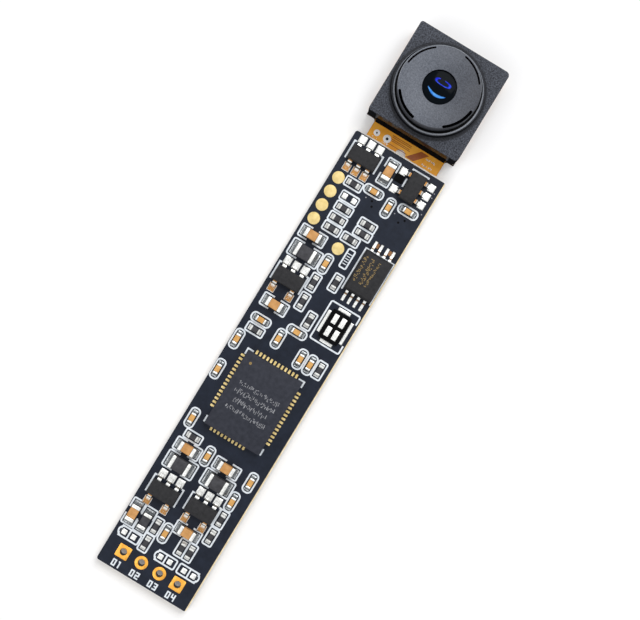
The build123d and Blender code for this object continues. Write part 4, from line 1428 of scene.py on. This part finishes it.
film = {
    "trackThickness": 0.012,
    "bars": ((-0.78, 18.6), (-0.66, 19.33), (-0.7, 19.48), (-0.74, 19.12), (-0.62, 18.98)),
    "barSize": (2.1, 0.06),
    "barCorner": 0.02,
    "band": {"width": 0.86, "low": 18.36, "high": 19.56, "across": 0.75, "slant": 1.07, "edge": 0.004},
    "rings": ((-3.2, 18.9, 0.32, 0.09), (-2.06, 18.9, 0.4, 0.14)),  # place, outer and inner radius
    "ringEdge": 0.02,
    "printThickness": 0.015,
    "centreOverlap": 0.01,
    "centreEdge": 0.002,
    "dashRows": ((-3.2, 18.42, 0.6, 0.16), (-2.06, 18.42, 0.66, 0.16),
                 (2.6, 19.18, 1.1, 0.2), (2.58, 18.56, 1.14, 0.24)),
    "dashes": {"turn": 0, "cell": 0.16, "pen": 0.07},
    "dashSeed": 20,
    "jointPillow": 0.03,
    "beadRound": 0.3,
    "beadJitter": 0.05,
    "beadRipple": 1.7,
    "beadSag": 0.8,
    "beadCuts": 24,
}


def makeFilmTracks():
    thickness, band = film["trackThickness"], film["band"]
    pieces = []
    for x, y in film["bars"]:
        bar = startCube((*film["barSize"], thickness), (x, y, filmTop))
        bevelEdges(bar, upright, film["barCorner"], 2)
        pieces.append(bar)
    low, high = band["low"], band["high"]
    strip = startCube((band["width"], high - low, thickness), (band["across"], (low + high) / 2, filmTop))
    edit(strip)
    pick(strip, "VERT", lambda v: v.co.y > high - near)
    bpy.ops.transform.translate(value=(band["slant"], 0, 0))
    done()
    bevelEdges(strip, lambda e: rimOf(e, filmTop + thickness), band["edge"], 1)
    settle(joinAll(pieces + [strip]), "filmTracks", "track_copper", "flex_traces")


def makeFilmPrint():
    thickness, edge = film["printThickness"], film["ringEdge"]
    rim, shoulder = filmTop + thickness, filmTop + thickness * 0.7
    pieces = []
    for x, y, outer, inner in film["rings"]:
        outline = [(inner, filmTop), (outer, filmTop), (outer, shoulder), (outer - edge, rim),
                   (inner + edge, rim), (inner, shoulder)]
        pieces.append(spinProfile(outline, 36, (x, y)))
    for i, (x, y, width, height) in enumerate(film["dashRows"]):
        row = ((0, width, height),)
        pieces.append(strokeLines(row, (x, y), filmTop, seed=film["dashSeed"] + i, **film["dashes"]))
    settle(joinAll(pieces), "filmPrint", "white_print", "flex_print", finish="film_print", angle=40)
    centres = []
    for x, y, outer, inner in film["rings"]:
        centre = startDrum(inner + film["centreOverlap"], thickness * 0.5, (x, y, filmTop), 24)
        bevelEdges(centre, lambda e: rimOf(e, filmTop + thickness * 0.5), film["centreEdge"], 1)
        centres.append(centre)
    settle(joinAll(centres), "ringCentres", "track_copper", finish="black_foil")


def makeBead():
    low, high = inMillimetres(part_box("fixing_bead"))
    centre, size = (low + high) / 2, high - low
    bead = startCube(tuple(size), (centre.x, centre.y, low.z))
    bevelEdges(bead, lambda e: not upright(e), min(size.y, size.z) * film["beadRound"], 3)
    edit(bead)
    for i in range(1, film["beadCuts"]):
        bpy.ops.mesh.select_all(action="SELECT")
        x = low.x + size.x * i / film["beadCuts"]
        bpy.ops.mesh.bisect(plane_co=(x, 0, 0), plane_no=(1, 0, 0))
    done()
    for v in bead.data.vertices:  # the sides of the bead wander inwards a little
        ripple = noise.noise(Vector((v.co.x * film["beadRipple"], 0.3, v.co.z)))
        pull = film["beadJitter"] * (0.5 + 0.5 * ripple)
        v.co.y += pull if v.co.y < centre.y else -pull
        v.co.z -= pull * film["beadSag"] if v.co.z > centre.z else 0
    settle(bead, "fixingBead", "adhesive", "fixing_bead", angle=60)


makeFilmTracks()
makeFilmPrint()
makeBead()
pillowCopies("flex_joints", film["jointPillow"], "filmJoints", "tin", "dull")
print("film made")


# floor, lamps and camera

stageSettings = {
    "floorSize": 1.2,
    "floorTones": (tone(230, 230, 231), tone(232, 232, 233)),
    "paperGrain": 12,
    "floorLift": 0.17,
    "worldLevel": 0.5,
    "cameraPlace": (0.000964, 0.001563, 0.13825),
    "cameraTurn": math.radians(31.3),
    "lens": 81.0,
}
lamps = {
    "keyLamp": {"place": (0.02, 0.16, 0.26), "size": 0.16, "power": 0.55},
    "fillLamp": {"place": (-0.10, -0.16, 0.24), "size": 0.2, "power": 0.2},
}


def seenRays(tree):
    # 1 for what the camera, a shiny surface or clear glass sees, 0 for light that falls on the object
    rays = tree.nodes.new("ShaderNodeLightPath")
    seen = rays.outputs["Is Camera Ray"]
    for name in ("Is Glossy Ray", "Is Transmission Ray"):
        most = tree.nodes.new("ShaderNodeMath")
        most.operation = "MAXIMUM"
        tree.links.new(seen, most.inputs[0])
        tree.links.new(rays.outputs[name], most.inputs[1])
        seen = most.outputs[0]
    return seen


def makeFloor():
    deselectAll()
    bpy.ops.mesh.primitive_plane_add(size=stageSettings["floorSize"], location=(0, 0, 0))
    floor = bpy.context.object
    floor.name = "floor"
    dark, light = stageSettings["floorTones"]
    mat = newFinish("floorPaper", light, 0.9)
    tintBetween(mat, noiseField(mat, objectCoords(mat), stageSettings["paperGrain"]), dark, light)
    mat.node_tree.nodes["Principled BSDF"].inputs["Emission Color"].default_value = (1, 1, 1, 1)
    lift = calc(mat, "MULTIPLY", seenRays(mat.node_tree), stageSettings["floorLift"])
    drive(mat, lift, "Emission Strength")
    floor.data.materials.append(mat)


def makeWorld():
    world = bpy.data.worlds.new("studio")
    bpy.context.scene.world = world
    world.use_nodes = True
    tree = world.node_tree
    back = tree.nodes["Background"]
    back.inputs["Color"].default_value = (1, 1, 1, 1)
    level = tree.nodes.new("ShaderNodeMapRange")
    level.inputs["To Min"].default_value = stageSettings["worldLevel"]
    level.inputs["To Max"].default_value = 1.0
    tree.links.new(seenRays(tree), level.inputs["Value"])
    tree.links.new(level.outputs["Result"], back.inputs["Strength"])


def makeLamp(name, place, size, power):
    bpy.ops.object.light_add(type="AREA", location=place)
    lamp = bpy.context.object
    lamp.name = name
    lamp.data.size = size
    lamp.data.energy = power
    lamp.rotation_euler = (-Vector(place)).to_track_quat("-Z", "Y").to_euler()


def makeCamera():
    turn = (0, 0, stageSettings["cameraTurn"])
    bpy.ops.object.camera_add(location=stageSettings["cameraPlace"], rotation=turn)
    camera = bpy.context.object
    camera.data.lens = stageSettings["lens"]
    camera.data.sensor_width = 36.0
    camera.data.clip_start = 0.001
    bpy.context.scene.camera = camera


makeFloor()
makeWorld()
for name, look in lamps.items():
    makeLamp(name, **look)
makeCamera()
bpy.context.scene.view_settings.view_transform = "Standard"
print("stage set")
